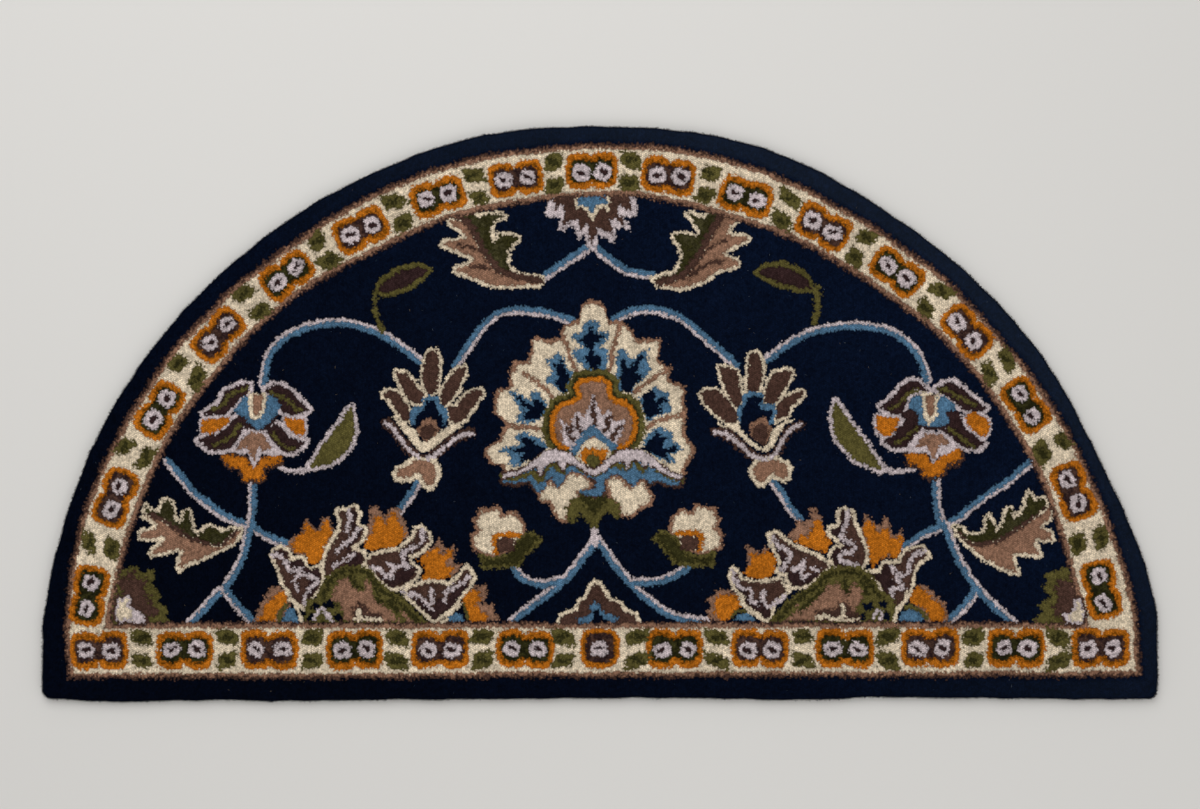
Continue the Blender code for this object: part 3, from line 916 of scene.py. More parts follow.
RIGHT_PALMETTE = {
    "fringes": (
        ((-169, 27), (-161, 28), (-157, 38), (-142, 39), (-130, 33), (-142, 0), (-162, 2), (-169, 12),
         (-163, 20)),
        ((-124, 59), (-117, 70), (-118, 81), (-120, 93), (-113, 93), (-107, 85), (-99, 87), (-96, 94),
         (-90, 87), (-81, 76), (-93, 52)),
        ((-69, 104), (-59, 115), (-58, 126), (-49, 123), (-40, 124), (-42, 139), (-36, 141), (-27, 129),
         (-21, 108), (-17, 91), (-39, 87)),
        ((21, 110), (27, 132), (33, 129), (39, 120), (44, 117), (50, 130), (55, 125), (58, 108),
         (64, 107), (70, 115), (72, 101), (71, 86), (44, 74), (29, 78)),
        ((78, 37), (91, 45), (103, 44), (114, 32), (124, 23), (129, 0), (99, 0)),
    ),
    "tongues": (
        ((-156, 26), (-152, 34), (-135, 32), (-126, 27), (-126, 18), (-136, 7), (-142, 0), (-151, 1),
         (-158, 11)),
        ((-123, 60), (-114, 70), (-113, 83), (-104, 82), (-96, 86), (-90, 88), (-81, 78), (-83, 61),
         (-92, 53), (-107, 53)),
        ((-61, 98), (-52, 105), (-43, 105), (-38, 113), (-36, 124), (-29, 125), (-23, 110), (-17, 96),
         (-21, 87), (-31, 85), (-47, 92)),
        ((25, 112), (28, 124), (34, 123), (43, 109), (53, 115), (56, 102), (66, 104), (71, 101), (70, 86),
         (61, 78), (53, 83), (38, 66), (32, 75), (29, 94)),
        ((80, 37), (91, 43), (101, 38), (108, 28), (119, 21), (125, 9), (121, 0), (108, 0), (99, 15),
         (83, 25)),
    ),
    "petals": (
        ((-136, 65), (-132, 61), (-126, 50), (-109, 48), (-93, 49), (-77, 52), (-70, 37), (-83, 27),
         (-90, 17), (-90, 6), (-98, 4), (-110, 15), (-123, 23), (-120, 31), (-132, 42), (-139, 55)),
        ((-90, 107), (-82, 109), (-72, 98), (-56, 88), (-38, 81), (-23, 74), (-20, 66), (-32, 55),
         (-44, 45), (-65, 44), (-69, 59), (-80, 63), (-76, 72), (-78, 82), (-87, 97)),
        ((-4, 135), (2, 137), (10, 134), (12, 121), (20, 104), (26, 88), (26, 74), (20, 65), (-10, 67),
         (-16, 78), (-13, 87), (-1, 92), (-7, 102), (-18, 109), (-16, 115), (-6, 115), (-5, 126)),
        ((76, 86), (87, 90), (96, 91), (104, 80), (91, 74), (85, 61), (82, 44), (75, 27), (64, 15),
         (59, 25), (47, 37), (43, 49), (29, 60), (45, 61), (50, 71), (69, 72)),
    ),
    "plum": (
        ((-137, 60), (-132, 48), (-117, 37), (-114, 25), (-98, 27), (-91, 20), (-90, 6), (-98, 4),
         (-110, 15), (-121, 23), (-120, 32), (-134, 43)),
        ((-87, 104), (-77, 88), (-67, 78), (-77, 64), (-65, 61), (-52, 66), (-49, 55), (-34, 63),
         (-28, 60), (-44, 45), (-65, 44), (-69, 59), (-80, 64), (-76, 76), (-85, 93)),
        ((-2, 134), (2, 136), (1, 115), (-2, 104), (11, 94), (-6, 85), (-4, 75), (13, 67), (-10, 67),
         (-16, 78), (-13, 87), (-1, 93), (-7, 102), (-18, 109), (-15, 115), (-5, 115)),
        ((32, 60), (45, 61), (52, 71), (69, 72), (59, 67), (55, 56), (64, 49), (55, 39), (60, 25),
         (48, 36), (44, 49)),
    ),
    "streaks": (
        ((-136, 63), (-135, 53), (-126, 43), (-113, 39), (-114, 27), (-108, 22)),
        ((-98, 39), (-99, 27), (-92, 20), (-83, 25), (-71, 32)),
        ((-87, 105), (-82, 96), (-71, 88), (-65, 81), (-71, 72), (-75, 65)),
        ((-50, 74), (-52, 61), (-50, 54), (-43, 59)),
        ((-63, 64), (-52, 69)),
        ((-39, 65), (-31, 63)),
        ((5, 136), (4, 124), (1, 114), (-4, 107), (2, 98), (13, 94), (9, 86), (-4, 83), (-2, 75), (17, 69)),
        ((98, 86), (86, 81), (80, 72), (76, 60), (66, 58), (58, 67)),
        ((64, 55), (72, 42)),
        ((67, 43), (58, 38), (60, 27), (61, 17)),
    ),
    "dome": ((-91, 0), (-81, 13), (-65, 27), (-49, 38), (-34, 47), (-26, 59), (-15, 65), (5, 67),
             (22, 65), (34, 55), (45, 39), (61, 26), (64, 0)),
    "dusty": (
        ((-74, 0), (-61, 11), (-44, 20), (-27, 37), (-17, 44), (-6, 48), (-1, 39), (6, 38), (12, 47),
         (22, 42), (23, 29), (16, 18), (11, 0)),
        ((-63, 20), (-54, 23), (-56, 15)),
    ),
    "moss": (
        ((-81, 5), (-63, 22), (-47, 34), (-31, 44), (-22, 54), (-10, 60), (12, 61), (27, 52), (38, 37),
         (49, 25)),
        ((-54, 13), (-37, 28), (-25, 40)),
        ((2, 52), (4, 37)),
        ((22, 52), (29, 34)),
    ),
    "hollow": ((17, 0), (16, 17), (25, 27), (47, 29), (60, 23), (63, 0)),
    "seeds": ((29, 18, 6, 5), (48, 21, 5, 5), (21, 5, 5, 4), (53, 6, 5, 5)),
    "chevron": ((36, 4), (40, 12), (47, 11), (44, 2)),
    "nest": ((-34, 0), (-33, 17), (-13, 16), (-7, 23), (2, 27), (7, 18), (18, 7), (20, 0)),
    "crumb": (((-2, 20), (-1, 4)), ((-32, 4), (-25, 7), (-11, 4), (17, 1))),
    "foot_green": ((74, 23), (85, 22), (96, 16), (103, 6), (102, 0), (94, 7), (85, 13), (74, 13)),
    "foot_blue": (
        ((67, 0), (72, 12), (80, 16), (90, 12), (97, 5), (98, 0)),
        ((-135, 1), (-130, 9), (-118, 12), (-107, 1)),
    ),
    "foot_cream": (((76, 37), (75, 26), (67, 15), (64, 1)), ((-126, 27), (-118, 16), (-98, 2))),
    "foot_olive": (((-137, 6), (-131, 12), (-121, 13)),),
}


def tuft_great_palmette(cloth, x, y, flower):
    """Tongues and their fringe, curled petals and their edges, then the dome with its seeds."""
    patch = Patch(cloth, x, y, 190.0)
    patch.areas("dusty", flower["fringes"], rag=1.6)
    patch.areas("orange", flower["tongues"], rag=1.6, grow=0.4)
    patch.areas("brown", flower["petals"], edge="cream", edge_mm=4.7)
    patch.areas("plum", flower["plum"], rag=1.2)
    patch.lines("lilac", flower["streaks"], 5.6, rag=1.5)
    patch.areas("olive", [flower["dome"]], rag=1.4, grow=2.4)
    patch.areas("dusty", flower["dusty"], rag=1.8)
    patch.lines("moss", flower["moss"], 4.2, rag=2.0)
    patch.areas("olive", [flower["hollow"]], rag=1.4)
    for u, v, half_u, half_v in flower["seeds"]:
        patch.fill("navy", patch.oval(u, v, half_u, half_v, square=2.6), rag=1.2)
    patch.lines("lilac", [flower["chevron"]], 4.6, rag=1.2)
    patch.areas("brown", [flower["nest"]], rag=2.2)
    patch.lines("cream", flower["crumb"], 5.6, rag=1.2)
    patch.areas("olive", [flower["foot_green"]])
    patch.areas("blue", flower["foot_blue"])
    patch.lines("cream", flower["foot_cream"], 4.8)
    patch.lines("olive", flower["foot_olive"], 4.2)


# %% [markdown]
# ## The palmette in the middle
# The rug's main flower is a shell of cream petals with a brown edge. Its outline is
# a reach for each bearing about its heart, eased from notch to tip. Seven toothed
# leaves lie on the petals, navy with a blue edge. In front of them stand a trefoil
# with a lilac lotus, a wavy collar with a toothed hem, and the frilled calyx.

# %% Middle palmette
SHELL = (
    # bearing_deg, reach
    (-90, 30), (-34, 90), (-24, 119), (-17, 119), (-6, 125), (5, 112), (12, 116), (22, 120), (30, 129),
    (38, 119), (44, 128), (51, 126), (57, 147), (62, 140), (67, 133), (72, 143), (77, 150), (83, 147),
    (87, 168), (91, 172), (95, 169), (98, 150), (105, 147), (108, 134), (112, 134), (121, 148), (125, 135),
    (131, 129), (136, 137), (141, 133), (147, 124), (154, 135), (163, 130), (170, 111), (178, 116),
    (186, 137), (192, 132), (196, 118), (206, 124), (214, 96), (270, 30),
)
SHELL_EDGE = 5.3
TREFOIL = ((-23, 53), (-26, 66), (-20, 76), (-4, 78), (12, 77), (21, 70), (22, 56), (28, 50), (40, 48),
           (49, 40), (54, 28), (54, 12), (49, -1), (39, -12), (-42, -12), (-52, -2), (-56, 12), (-55, 29),
           (-47, 43), (-34, 49))
PARTINGS = (
    ((-40, 135), (-32, 112), (-21, 83)),
    ((33, 144), (23, 114), (17, 78)),
    ((-87, 82), (-66, 67), (-49, 50)),
    ((94, 88), (71, 75), (49, 59)),
    ((-112, 16), (-88, 16), (-65, 13)),
    ((107, 31), (83, 26), (60, 13)),
)
LEAF_BLUE = (
    ((-13, 145), (-5, 147), (4, 144), (5, 132), (17, 132), (16, 123), (7, 114), (16, 110), (16, 98),
     (12, 81), (-7, 78), (-15, 91), (-26, 103), (-25, 110), (-16, 115), (-27, 126), (-26, 131), (-16, 134)),
    ((-60, 101), (-50, 103), (-44, 108), (-38, 104), (-36, 94), (-26, 85), (-27, 74), (-33, 61),
     (-37, 52), (-45, 64), (-59, 71), (-59, 77), (-52, 82), (-54, 91)),
    ((28, 110), (34, 113), (40, 104), (45, 98), (54, 104), (59, 110), (66, 110), (64, 96), (69, 86),
     (63, 78), (52, 70), (45, 58), (28, 59), (25, 71), (27, 91)),
    ((-105, 59), (-96, 60), (-88, 53), (-78, 48), (-78, 58), (-72, 60), (-65, 53), (-58, 44), (-60, 33),
     (-71, 23), (-86, 20), (-97, 22), (-91, 34), (-97, 47)),
    ((75, 67), (81, 60), (91, 59), (90, 52), (94, 37), (85, 33), (76, 29), (65, 22), (59, 34), (56, 52),
     (67, 58)),
    ((-98, 7), (-87, 10), (-71, 4), (-58, -6), (-61, -15), (-75, -23), (-88, -28), (-98, -33),
     (-105, -28), (-99, -20), (-105, -16), (-117, -13), (-113, -9), (-99, -7), (-92, -4)),
    ((61, 2), (71, 12), (81, 16), (91, 12), (97, 9), (94, 2), (104, -4), (110, -11), (101, -15),
     (94, -17), (99, -27), (91, -28), (78, -22), (60, -13)),
)
LEAF_NAVY = (
    ((-6, 140), (-2, 136), (-2, 131), (4, 130), (13, 128), (7, 123), (0, 118), (-2, 110), (-2, 104),
     (7, 102), (9, 97), (5, 90), (7, 81), (-2, 81), (-7, 91), (-13, 101), (-7, 103), (-7, 113),
     (-17, 123), (-10, 129)),
    ((-53, 94), (-47, 92), (-40, 98), (-37, 90), (-31, 80), (-32, 66), (-36, 56), (-42, 64), (-50, 71),
     (-44, 75), (-45, 86)),
    ((32, 98), (37, 96), (39, 88), (45, 91), (58, 104), (59, 99), (52, 88), (50, 82), (59, 81), (55, 74),
     (47, 65), (44, 56), (32, 59), (31, 76), (33, 86)),
    ((-98, 55), (-92, 53), (-83, 45), (-76, 42), (-75, 52), (-69, 49), (-61, 43), (-63, 34), (-70, 25),
     (-86, 25), (-88, 29), (-81, 37), (-90, 43)),
    ((69, 63), (74, 56), (75, 49), (88, 54), (87, 48), (77, 40), (83, 40), (81, 34), (66, 26), (60, 34),
     (60, 52)),
    ((-91, 5), (-81, 2), (-71, -5), (-59, -12), (-66, -20), (-78, -26), (-91, -26), (-88, -17),
     (-97, -15), (-104, -10), (-94, -10), (-85, -7), (-90, -1)),
    ((75, 11), (81, 5), (88, 5), (86, 0), (82, -5), (86, -10), (98, -7), (101, -11), (88, -16), (91, -25),
     (82, -21), (69, -16), (56, -12), (66, -2)),
)
SHELL_LEAF_TEETH = 1.4
LILAC_PETALS = (
    ((-42, 25), (-37, 20), (-31, 18), (-26, 27), (-25, 34), (-18, 33), (-12, 28), (-7, 40), (-2, 56),
     (2, 49), (6, 38), (10, 29), (15, 34), (21, 36), (22, 28), (23, 20), (29, 23), (38, 23), (38, 15),
     (32, 5), (27, -4), (22, -10), (7, 0), (-5, 10), (-17, 0), (-27, -15), (-34, -7), (-40, 5)),
)
LILAC_SLITS = (
    ((-34, 15), (-29, 15), (-31, 6), (-26, 0)),
    ((-21, 25), (-20, 17), (-16, 9)),
    ((-1, 48), (-2, 37), (1, 27), (0, 16)),
    ((21, 27), (15, 23), (17, 16), (12, 10)),
    ((34, 16), (27, 10), (21, 1)),
)
SEPALS = (
    ((-2, 18), (5, 13), (12, 5), (20, -1), (28, -9), (23, -16), (12, -10), (5, 0), (-2, 5), (-10, 0),
     (-17, -10), (-22, -20), (-29, -18), (-28, -9), (-21, 0), (-13, 10)),
)
BUD_CREAM = ((-2, 5), (7, -1), (16, -7), (22, -15), (16, -23), (7, -27), (-12, -27), (-21, -22),
             (-22, -15), (-17, -7), (-10, 0))
BUD_ORANGE = ((-17, -12), (-11, -9), (-7, -13), (-2, -7), (4, -12), (10, -9), (16, -13), (15, -22),
              (9, -29), (-2, -34), (-12, -29), (-18, -21))
BUD_GREEN = ((-11, -21), (-2, -15), (6, -21), (6, -29), (-2, -34), (-10, -31))
COLLAR_LILAC = ((-112, -42), (-97, -38), (-83, -32), (-71, -23), (-61, -15), (-52, -12), (-39, -13),
               (-29, -17), (-22, -25), (-12, -32), (-2, -36), (7, -31), (17, -22), (27, -15), (42, -12),
               (56, -13), (66, -17), (76, -25), (86, -33), (98, -40), (108, -45), (105, -49), (91, -43),
               (78, -36), (66, -29), (60, -34), (56, -26), (44, -25), (40, -36), (36, -26), (22, -28),
               (12, -37), (0, -43), (-10, -40), (-20, -32), (-28, -29), (-34, -28), (-39, -38),
               (-45, -27), (-55, -28), (-61, -33), (-65, -45), (-70, -32), (-81, -37), (-96, -43),
               (-110, -47))
COLLAR_OLIVE = ((-112, -44), (-96, -47), (-78, -40), (-70, -43), (-65, -49), (-60, -38), (-53, -29),
                (-47, -31), (-40, -39), (-34, -31), (-25, -28), (-12, -37), (0, -42), (12, -34),
                (23, -29), (33, -33), (42, -34), (47, -22), (52, -28), (59, -39), (64, -27), (76, -34),
                (91, -44), (107, -49))
COLLAR_BLUE = ((-112, -42), (-91, -39), (-66, -27), (-48, -20), (-23, -27), (-2, -38), (22, -25),
               (56, -21), (81, -34), (109, -49), (104, -55), (91, -55), (77, -49), (69, -54), (63, -48),
               (54, -49), (48, -58), (40, -52), (32, -44), (21, -43), (11, -50), (13, -61), (7, -69),
               (-10, -69), (-21, -63), (-5, -59), (2, -58), (1, -48), (-10, -44), (-26, -38), (-34, -43),
               (-38, -53), (-45, -59), (-52, -47), (-58, -50), (-60, -58), (-69, -63), (-74, -55),
               (-78, -49), (-97, -53), (-110, -52))
FRILLS = (
    ((-65, -64), (-55, -56), (-53, -52), (-49, -59), (-43, -60), (-38, -54), (-33, -45), (-26, -42),
     (-15, -45), (-7, -53), (-9, -59), (-21, -63), (-21, -71), (-29, -78), (-31, -91), (-36, -97),
     (-44, -93), (-49, -81), (-54, -74), (-65, -71)),
    ((16, -49), (23, -47), (32, -49), (40, -60), (48, -61), (53, -55), (60, -53), (63, -61), (69, -70),
     (65, -78), (54, -82), (45, -92), (33, -92), (31, -78), (21, -71), (20, -63)),
)
NEST = ((-42, -56), (-32, -42), (22, -42), (44, -56), (56, -52), (69, -66), (22, -76), (-29, -76),
        (-60, -71))
CALYX = ((-34, -83), (-29, -74), (-17, -67), (-2, -70), (12, -69), (23, -71), (31, -81), (33, -94),
         (28, -98), (21, -91), (15, -90), (9, -98), (5, -109), (-2, -110), (-10, -99), (-17, -91),
         (-21, -99), (-28, -102), (-33, -93))
CALYX_DARK = ((-15, -70), (15, -71), (11, -80), (2, -88), (-5, -87), (-12, -80))
STALK = ((1, -109), (0, -118), (0, -126))


def tuft_middle_palmette(cloth, x, y):
    """Shell, partings, blue-edged leaves, trefoil, lotus, collar, frills and calyx, back to front."""
    patch = Patch(cloth, x, y, 180.0)
    shell = np.minimum(patch.lobes(SHELL), patch.v + 54.0)
    patch.fill("dusty", shell, rag=1.5)
    patch.fill("cream", shell - SHELL_EDGE, rag=1.4)
    patch.lines("dusty", PARTINGS, 5.2, rag=1.4)
    patch.areas("blue", LEAF_BLUE, rag=SHELL_LEAF_TEETH)
    patch.areas("navy", LEAF_NAVY, rag=SHELL_LEAF_TEETH)
    tuft_trefoil(patch)
    tuft_collar(patch)


def tuft_trefoil(patch):
    """The trefoil with an olive ring and an orange edge, and the lilac lotus inside."""
    trefoil = patch.corners(TREFOIL)
    patch.fill("olive", trefoil, grow=9.0, rag=1.4)
    patch.fill("moss", trefoil, grow=2.6, rag=1.3)
    patch.fill("orange", trefoil, rag=0.8)
    patch.fill("dusty", trefoil - 6.6, rag=0.9)
    patch.areas("lilac", LILAC_PETALS, rag=1.1)
    patch.lines("brown", LILAC_SLITS, 5.0, rag=1.3)
    patch.areas("blue", SEPALS, rag=1.2)
    patch.areas("cream", [BUD_CREAM])
    patch.areas("orange", [BUD_ORANGE])
    patch.areas("olive", [BUD_GREEN])


def tuft_collar(patch):
    """Frills and calyx, then the collar's blue, olive and lilac plies with their toothed hem."""
    patch.fill("brown", np.maximum(patch.corners(NEST), patch.corners(COLLAR_BLUE) + 3.8), rag=1.4)
    patch.areas("cream", FRILLS, edge="dusty", edge_mm=4.6, rag=1.4)
    patch.areas("blue", [COLLAR_BLUE])
    patch.lines("olive", [COLLAR_OLIVE], 6.8, rag=1.2)
    patch.areas("lilac", [COLLAR_LILAC], edge="brown", edge_mm=1.6, rag=0.9)
    patch.lines("lilac", [STALK], 9.0)
    patch.areas("olive", [CALYX], rag=1.6)
    patch.areas("moss", [CALYX_DARK], rag=2.4)


# %% [markdown]
# ## Buds, the crown flower and the corners
# The rest is small: two buds beside the palmette, a fan that hangs from the crown
# of the arch, a trefoil on the straight side under it, and a toothed leaf in each
# lower corner. They use the same few shapes.

# %% Buds and small flowers
BUD_BLOOM = ((-32, 34), (-14, 38), (-9, 28), (6, 33), (15, 22), (18, 8), (10, -8), (-18, -17), (-30, -14),
             (-39, -8), (-41, 4), (-32, 12), (-38, 22))
BUD_CUP = ((-36, -14), (-16, -20), (-2, -16), (7, -3), (20, 10), (31, 11), (43, 0), (34, -10), (24, -20),
           (15, -34), (-34, -35))
FAN_LILAC = ((-54, 7), (-58, -13), (-60, -25), (-52, -26), (-45, -25), (-42, -29), (-43, -42), (-37, -43),
             (-27, -36), (-21, -42), (-23, -50), (-18, -55), (-11, -45), (-9, -60), (-2, -67), (5, -60),
             (5, -48), (13, -51), (25, -58), (28, -52), (26, -39), (36, -39), (45, -44), (44, -36),
             (36, -26), (47, -25), (53, -26), (54, -13), (48, 7))
FAN_BROWN = ((-50, 7), (-48, -18), (-42, -9), (-37, -11), (-36, -17), (-37, -33), (-39, -39), (-27, -29),
             (-20, -29), (-16, -44), (-11, -36), (-8, -33), (-6, -52), (-4, -59), (-2, -60), (2, -50),
             (4, -39), (16, -42), (23, -48), (22, -39), (17, -29), (28, -29), (38, -38), (35, -27),
             (29, -20), (29, -11), (38, -15), (47, -20), (47, -11), (43, 7))
FAN_CREAM = ((-26, 7), (-25, -11), (-22, -17), (-15, -13), (-9, -20), (-6, -26), (-2, -31), (2, -21),
             (5, -15), (11, -13), (18, -20), (20, -15), (16, -11), (20, -7), (16, 7))
FAN_BLUE = ((-20, 7), (-21, -5), (-20, -12), (-13, -11), (-7, -14), (-5, -21), (-2, -21), (-1, -15),
            (5, -9), (16, -7), (13, 7))
SILL_TREFOIL = ((-53, -8), (-47, 7), (-37, 12), (-28, 14), (-25, 24), (-16, 31), (-10, 43), (-6, 49),
                (0, 46), (5, 36), (12, 27), (24, 22), (29, 13), (43, 8), (49, -8))
FLORET_BLUE = ((-14, 22), (-7, 25), (0, 21), (3, 13), (12, 9), (22, 6), (20, -4), (-28, -4), (-28, 5),
               (-16, 8), (-11, 13))
FLORET_NAVY = ((-9, 14), (-3, 15), (-1, 9), (9, 2), (14, -4), (-17, -4), (-9, 4))
LEFT_CORNER_LEAF = ((-2, 66), (8, 66), (21, 69), (25, 61), (28, 59), (35, 64), (43, 62), (44, 54),
                    (39, 44), (48, 40), (49, 29), (46, 24), (57, 20), (58, 12), (54, 8), (64, -1),
                    (-12, -5), (-12, 66))
RIGHT_CORNER_LEAF = ((-11, 61), (-17, 66), (-24, 69), (-30, 64), (-38, 64), (-47, 60), (-45, 54),
                     (-43, 49), (-50, 44), (-46, 37), (-40, 32), (-44, 26), (-55, 21), (-52, 16),
                     (-47, 12), (-55, 7), (-62, -1), (-52, -5), (16, -5), (16, 66))
LEFT_CORNER_BLOB = ((-2, 29), (10, 33), (13, 27), (11, 20), (19, 16), (25, 12), (31, 6), (30, -1),
                    (20, -3), (10, 1), (0, -1), (-6, 4), (-6, 15))
RIGHT_CORNER_BLOB = ((-9, 27), (1, 28), (2, 20), (5, 7), (2, -1), (-7, -4), (-13, 1), (-18, -1), (-21, 6),
                     (-22, 11), (-15, 12), (-10, 17))


def tuft_bud(cloth, x, y, flip):
    """A cream bloom with a dusty edge, an orange fold round its dark core, and an olive cup."""
    patch = Patch(cloth, x, y, 62.0, flip=flip)
    bloom, cup = patch.corners(BUD_BLOOM), patch.corners(BUD_CUP)
    patch.fill("dusty", bloom, grow=5.0, rag=1.5)
    patch.fill("cream", bloom, rag=1.3)
    patch.fill("orange", patch.stroke(((-14, -14), (-15, 5), (14, 6)), 7.6), rag=1.3)
    patch.fill("olive", cup, rag=1.5)
    patch.fill("moss", cup - 4.5, rag=2.0)
    patch.fill("brown", patch.oval(-3, -5, 11, 9, square=5.0))


def tuft_crown_fan(cloth, x, y):
    """Seven spear-shaped lobes hung from the border: lilac round brown, with a cream and blue heart."""
    patch = Patch(cloth, x, y, 90.0)
    patch.areas("lilac", [FAN_LILAC], rag=1.2)
    patch.areas("brown", [FAN_BROWN])
    patch.areas("cream", [FAN_CREAM])
    patch.areas("blue", [FAN_BLUE])


def tuft_sill_trefoil(cloth, x, y):
    """A brown spear head with a cream edge and a blue floret with a navy eye."""
    patch = Patch(cloth, x, y, 70.0)
    patch.areas("brown", [SILL_TREFOIL], edge="cream", edge_mm=4.6)
    patch.areas("blue", [FLORET_BLUE], rag=1.3)
    patch.areas("navy", [FLORET_NAVY], rag=1.3)


def tuft_corner_leaf(cloth, x, y, leaf):
    """A brown leaf with an olive edge that is toothed on its free side."""
    patch = Patch(cloth, x, y, 90.0)
    depth = patch.corners(leaf)
    patch.fill("olive", depth, rag=1.3)
    patch.fill("brown", depth - 10.5 - 5.0 * cloth_noise(patch.u, patch.v, 12.0, 38), rag=2.4)


def tuft_corner_blob(cloth, x, y, blob):
    """The pale blossom that sits on the corner and runs over the border's brown line."""
    patch = Patch(cloth, x, y, 60.0)
    patch.areas("lilac", [blob], edge="brown", edge_mm=3.0, rag=1.2)
    patch.fill("cream", np.minimum(patch.corners(blob) - 3.0, 14.0 - np.abs(patch.u)), rag=1.5)


# %% The whole pattern
FIGURES = (
    # how it is tufted, x, y, and its own corners or whether it is turned over
    (tuft_acanthus, -66, 157, UPPER_LEFT_LEAF), (tuft_acanthus, 64, 161, UPPER_RIGHT_LEAF),
    (tuft_acanthus, -442, -140, LOWER_LEFT_LEAF), (tuft_acanthus, 434, -137, LOWER_RIGHT_LEAF),
    (tuft_inner_lotus, -211, -13, LEFT_LOTUS), (tuft_inner_lotus, 194, -13, RIGHT_LOTUS),
    (tuft_outer_lotus, -424, -12, LEFT_WINGED_LOTUS), (tuft_outer_lotus, 406, -9, RIGHT_WINGED_LOTUS),
    (tuft_great_palmette, -300, -255, LEFT_PALMETTE), (tuft_great_palmette, 299, -255, RIGHT_PALMETTE),
    (tuft_bud, -113, -155, False), (tuft_bud, 106, -153, True),
    (tuft_crown_fan, -7, 267), (tuft_sill_trefoil, 0, -255), (tuft_middle_palmette, -7, -32),
    (tuft_corner_leaf, -589, -255, LEFT_CORNER_LEAF), (tuft_corner_leaf, 592, -255, RIGHT_CORNER_LEAF),
)


def tuft_pattern(cloth, edge_bearing, edge_radius):
    """Fills the whole cloth, from the ground up, and gives the depths that part rim and field."""
    outer, field = border_depths(cloth, edge_bearing, edge_radius)
    tuft_vines(cloth)
    tuft_small_leaves(cloth)
    for tuft, x, y, *own in FIGURES:
        tuft(cloth, x, y, *own)
    tuft_border_band(cloth, outer, field)
    tuft_border_figures(cloth)
    tuft_corner_blob(cloth, -589, -255, LEFT_CORNER_BLOB)
    tuft_corner_blob(cloth, 590, -255, RIGHT_CORNER_BLOB)
    return outer, field


# %% [markdown]
# ## The pile as tufts
# Cut pile looks grainy because each tuft is a small rounded tip with a dark gap
# round it. Fibres one by one would be millions of hairs. A bumped plane would be
# flat at the rim. Between the two lies a surface with one raised point for each
# tuft and two lowered ones for the gaps: a triangle lattice whose points fall in
# three sets, so that no tip touches another tip. The tips are 2.5 mm apart, as in
# a rug of this make, and each is pushed a little out of place and out of height.

# %% Tuft lattice
TUFT_PITCH_MM = 2.5
POINT_STEP_MM = TUFT_PITCH_MM / math.sqrt(3.0)
ROW_STEP_MM = POINT_STEP_MM * math.sqrt(3.0) / 2.0
OUT_OF_PLACE_MM = 0.24
DEPTH_REACH_MM = 8.0


def tuft_lattice(ring):
    """Points in rows half a step apart over the rug's box, with their triangles and a number, 0 for
    a tuft's tip and 1 or 2 for a gap: (column - row // 2 - row) modulo 3."""
    low, high = ring.min(0) - 2.0 * POINT_STEP_MM, ring.max(0) + 2.0 * POINT_STEP_MM
    columns = int((high[0] - low[0]) / POINT_STEP_MM) + 1
    rows = int((high[1] - low[1]) / ROW_STEP_MM) + 1
    row, column = np.meshgrid(np.arange(rows), np.arange(columns), indexing="ij")
    x = low[0] + POINT_STEP_MM * (column + 0.5 * (row % 2))
    y = low[1] + ROW_STEP_MM * row
    part = (column - row // 2 - row) % 3
    here = (row * columns + column)[:-1, :-1]
    odd = (row % 2)[:-1, :-1]
    right, above, above_right = here + 1, here + columns, here + columns + 1
    first = np.stack([here, right, np.where(odd, above_right, above)], -1).reshape(-1, 3)
    second = np.where(odd[..., None], np.stack([here, above_right, above], -1),
                      np.stack([right, above_right, above], -1)).reshape(-1, 3)
    return x.ravel(), y.ravel(), part.ravel(), np.vstack([first, second])


def depth_in_outline(x, y, ring, reach):
    """How deep each point stands inside the ring, no more than reach, and the nearest place on the
    ring: the least distance to its sides, minus outside, which the bearing from the middle tells."""
    bearing = np.arctan2(ring[:, 1] - MIDDLE_Y_MM, ring[:, 0])
    radius = np.hypot(ring[:, 0], ring[:, 1] - MIDDLE_Y_MM)
    own = np.arctan2(y - MIDDLE_Y_MM, x)
    edge = np.interp(own, bearing, radius, period=2.0 * math.pi)
    sign = np.where(np.hypot(x, y - MIDDLE_Y_MM) < edge, 1.0, -1.0)
    least, foot = np.full(len(x), reach), np.stack([x, y], -1)
    for start, end in zip(ring, np.roll(ring, -1, axis=0)):
        low, high = np.minimum(start, end) - reach, np.maximum(start, end) + reach
        near = np.flatnonzero((x > low[0]) & (x < high[0]) & (y > low[1]) & (y < high[1]))
        side = end - start
        share = ((x[near] - start[0]) * side[0] + (y[near] - start[1]) * side[1]) / side.dot(side)
        share = np.clip(share, 0.0, 1.0)
        place = start + share[:, None] * side
        off = np.hypot(x[near] - place[:, 0], y[near] - place[:, 1])
        nearer = off < least[near]
        least[near[nearer]], foot[near[nearer]] = off[nearer], place[nearer]
    return sign * least, foot


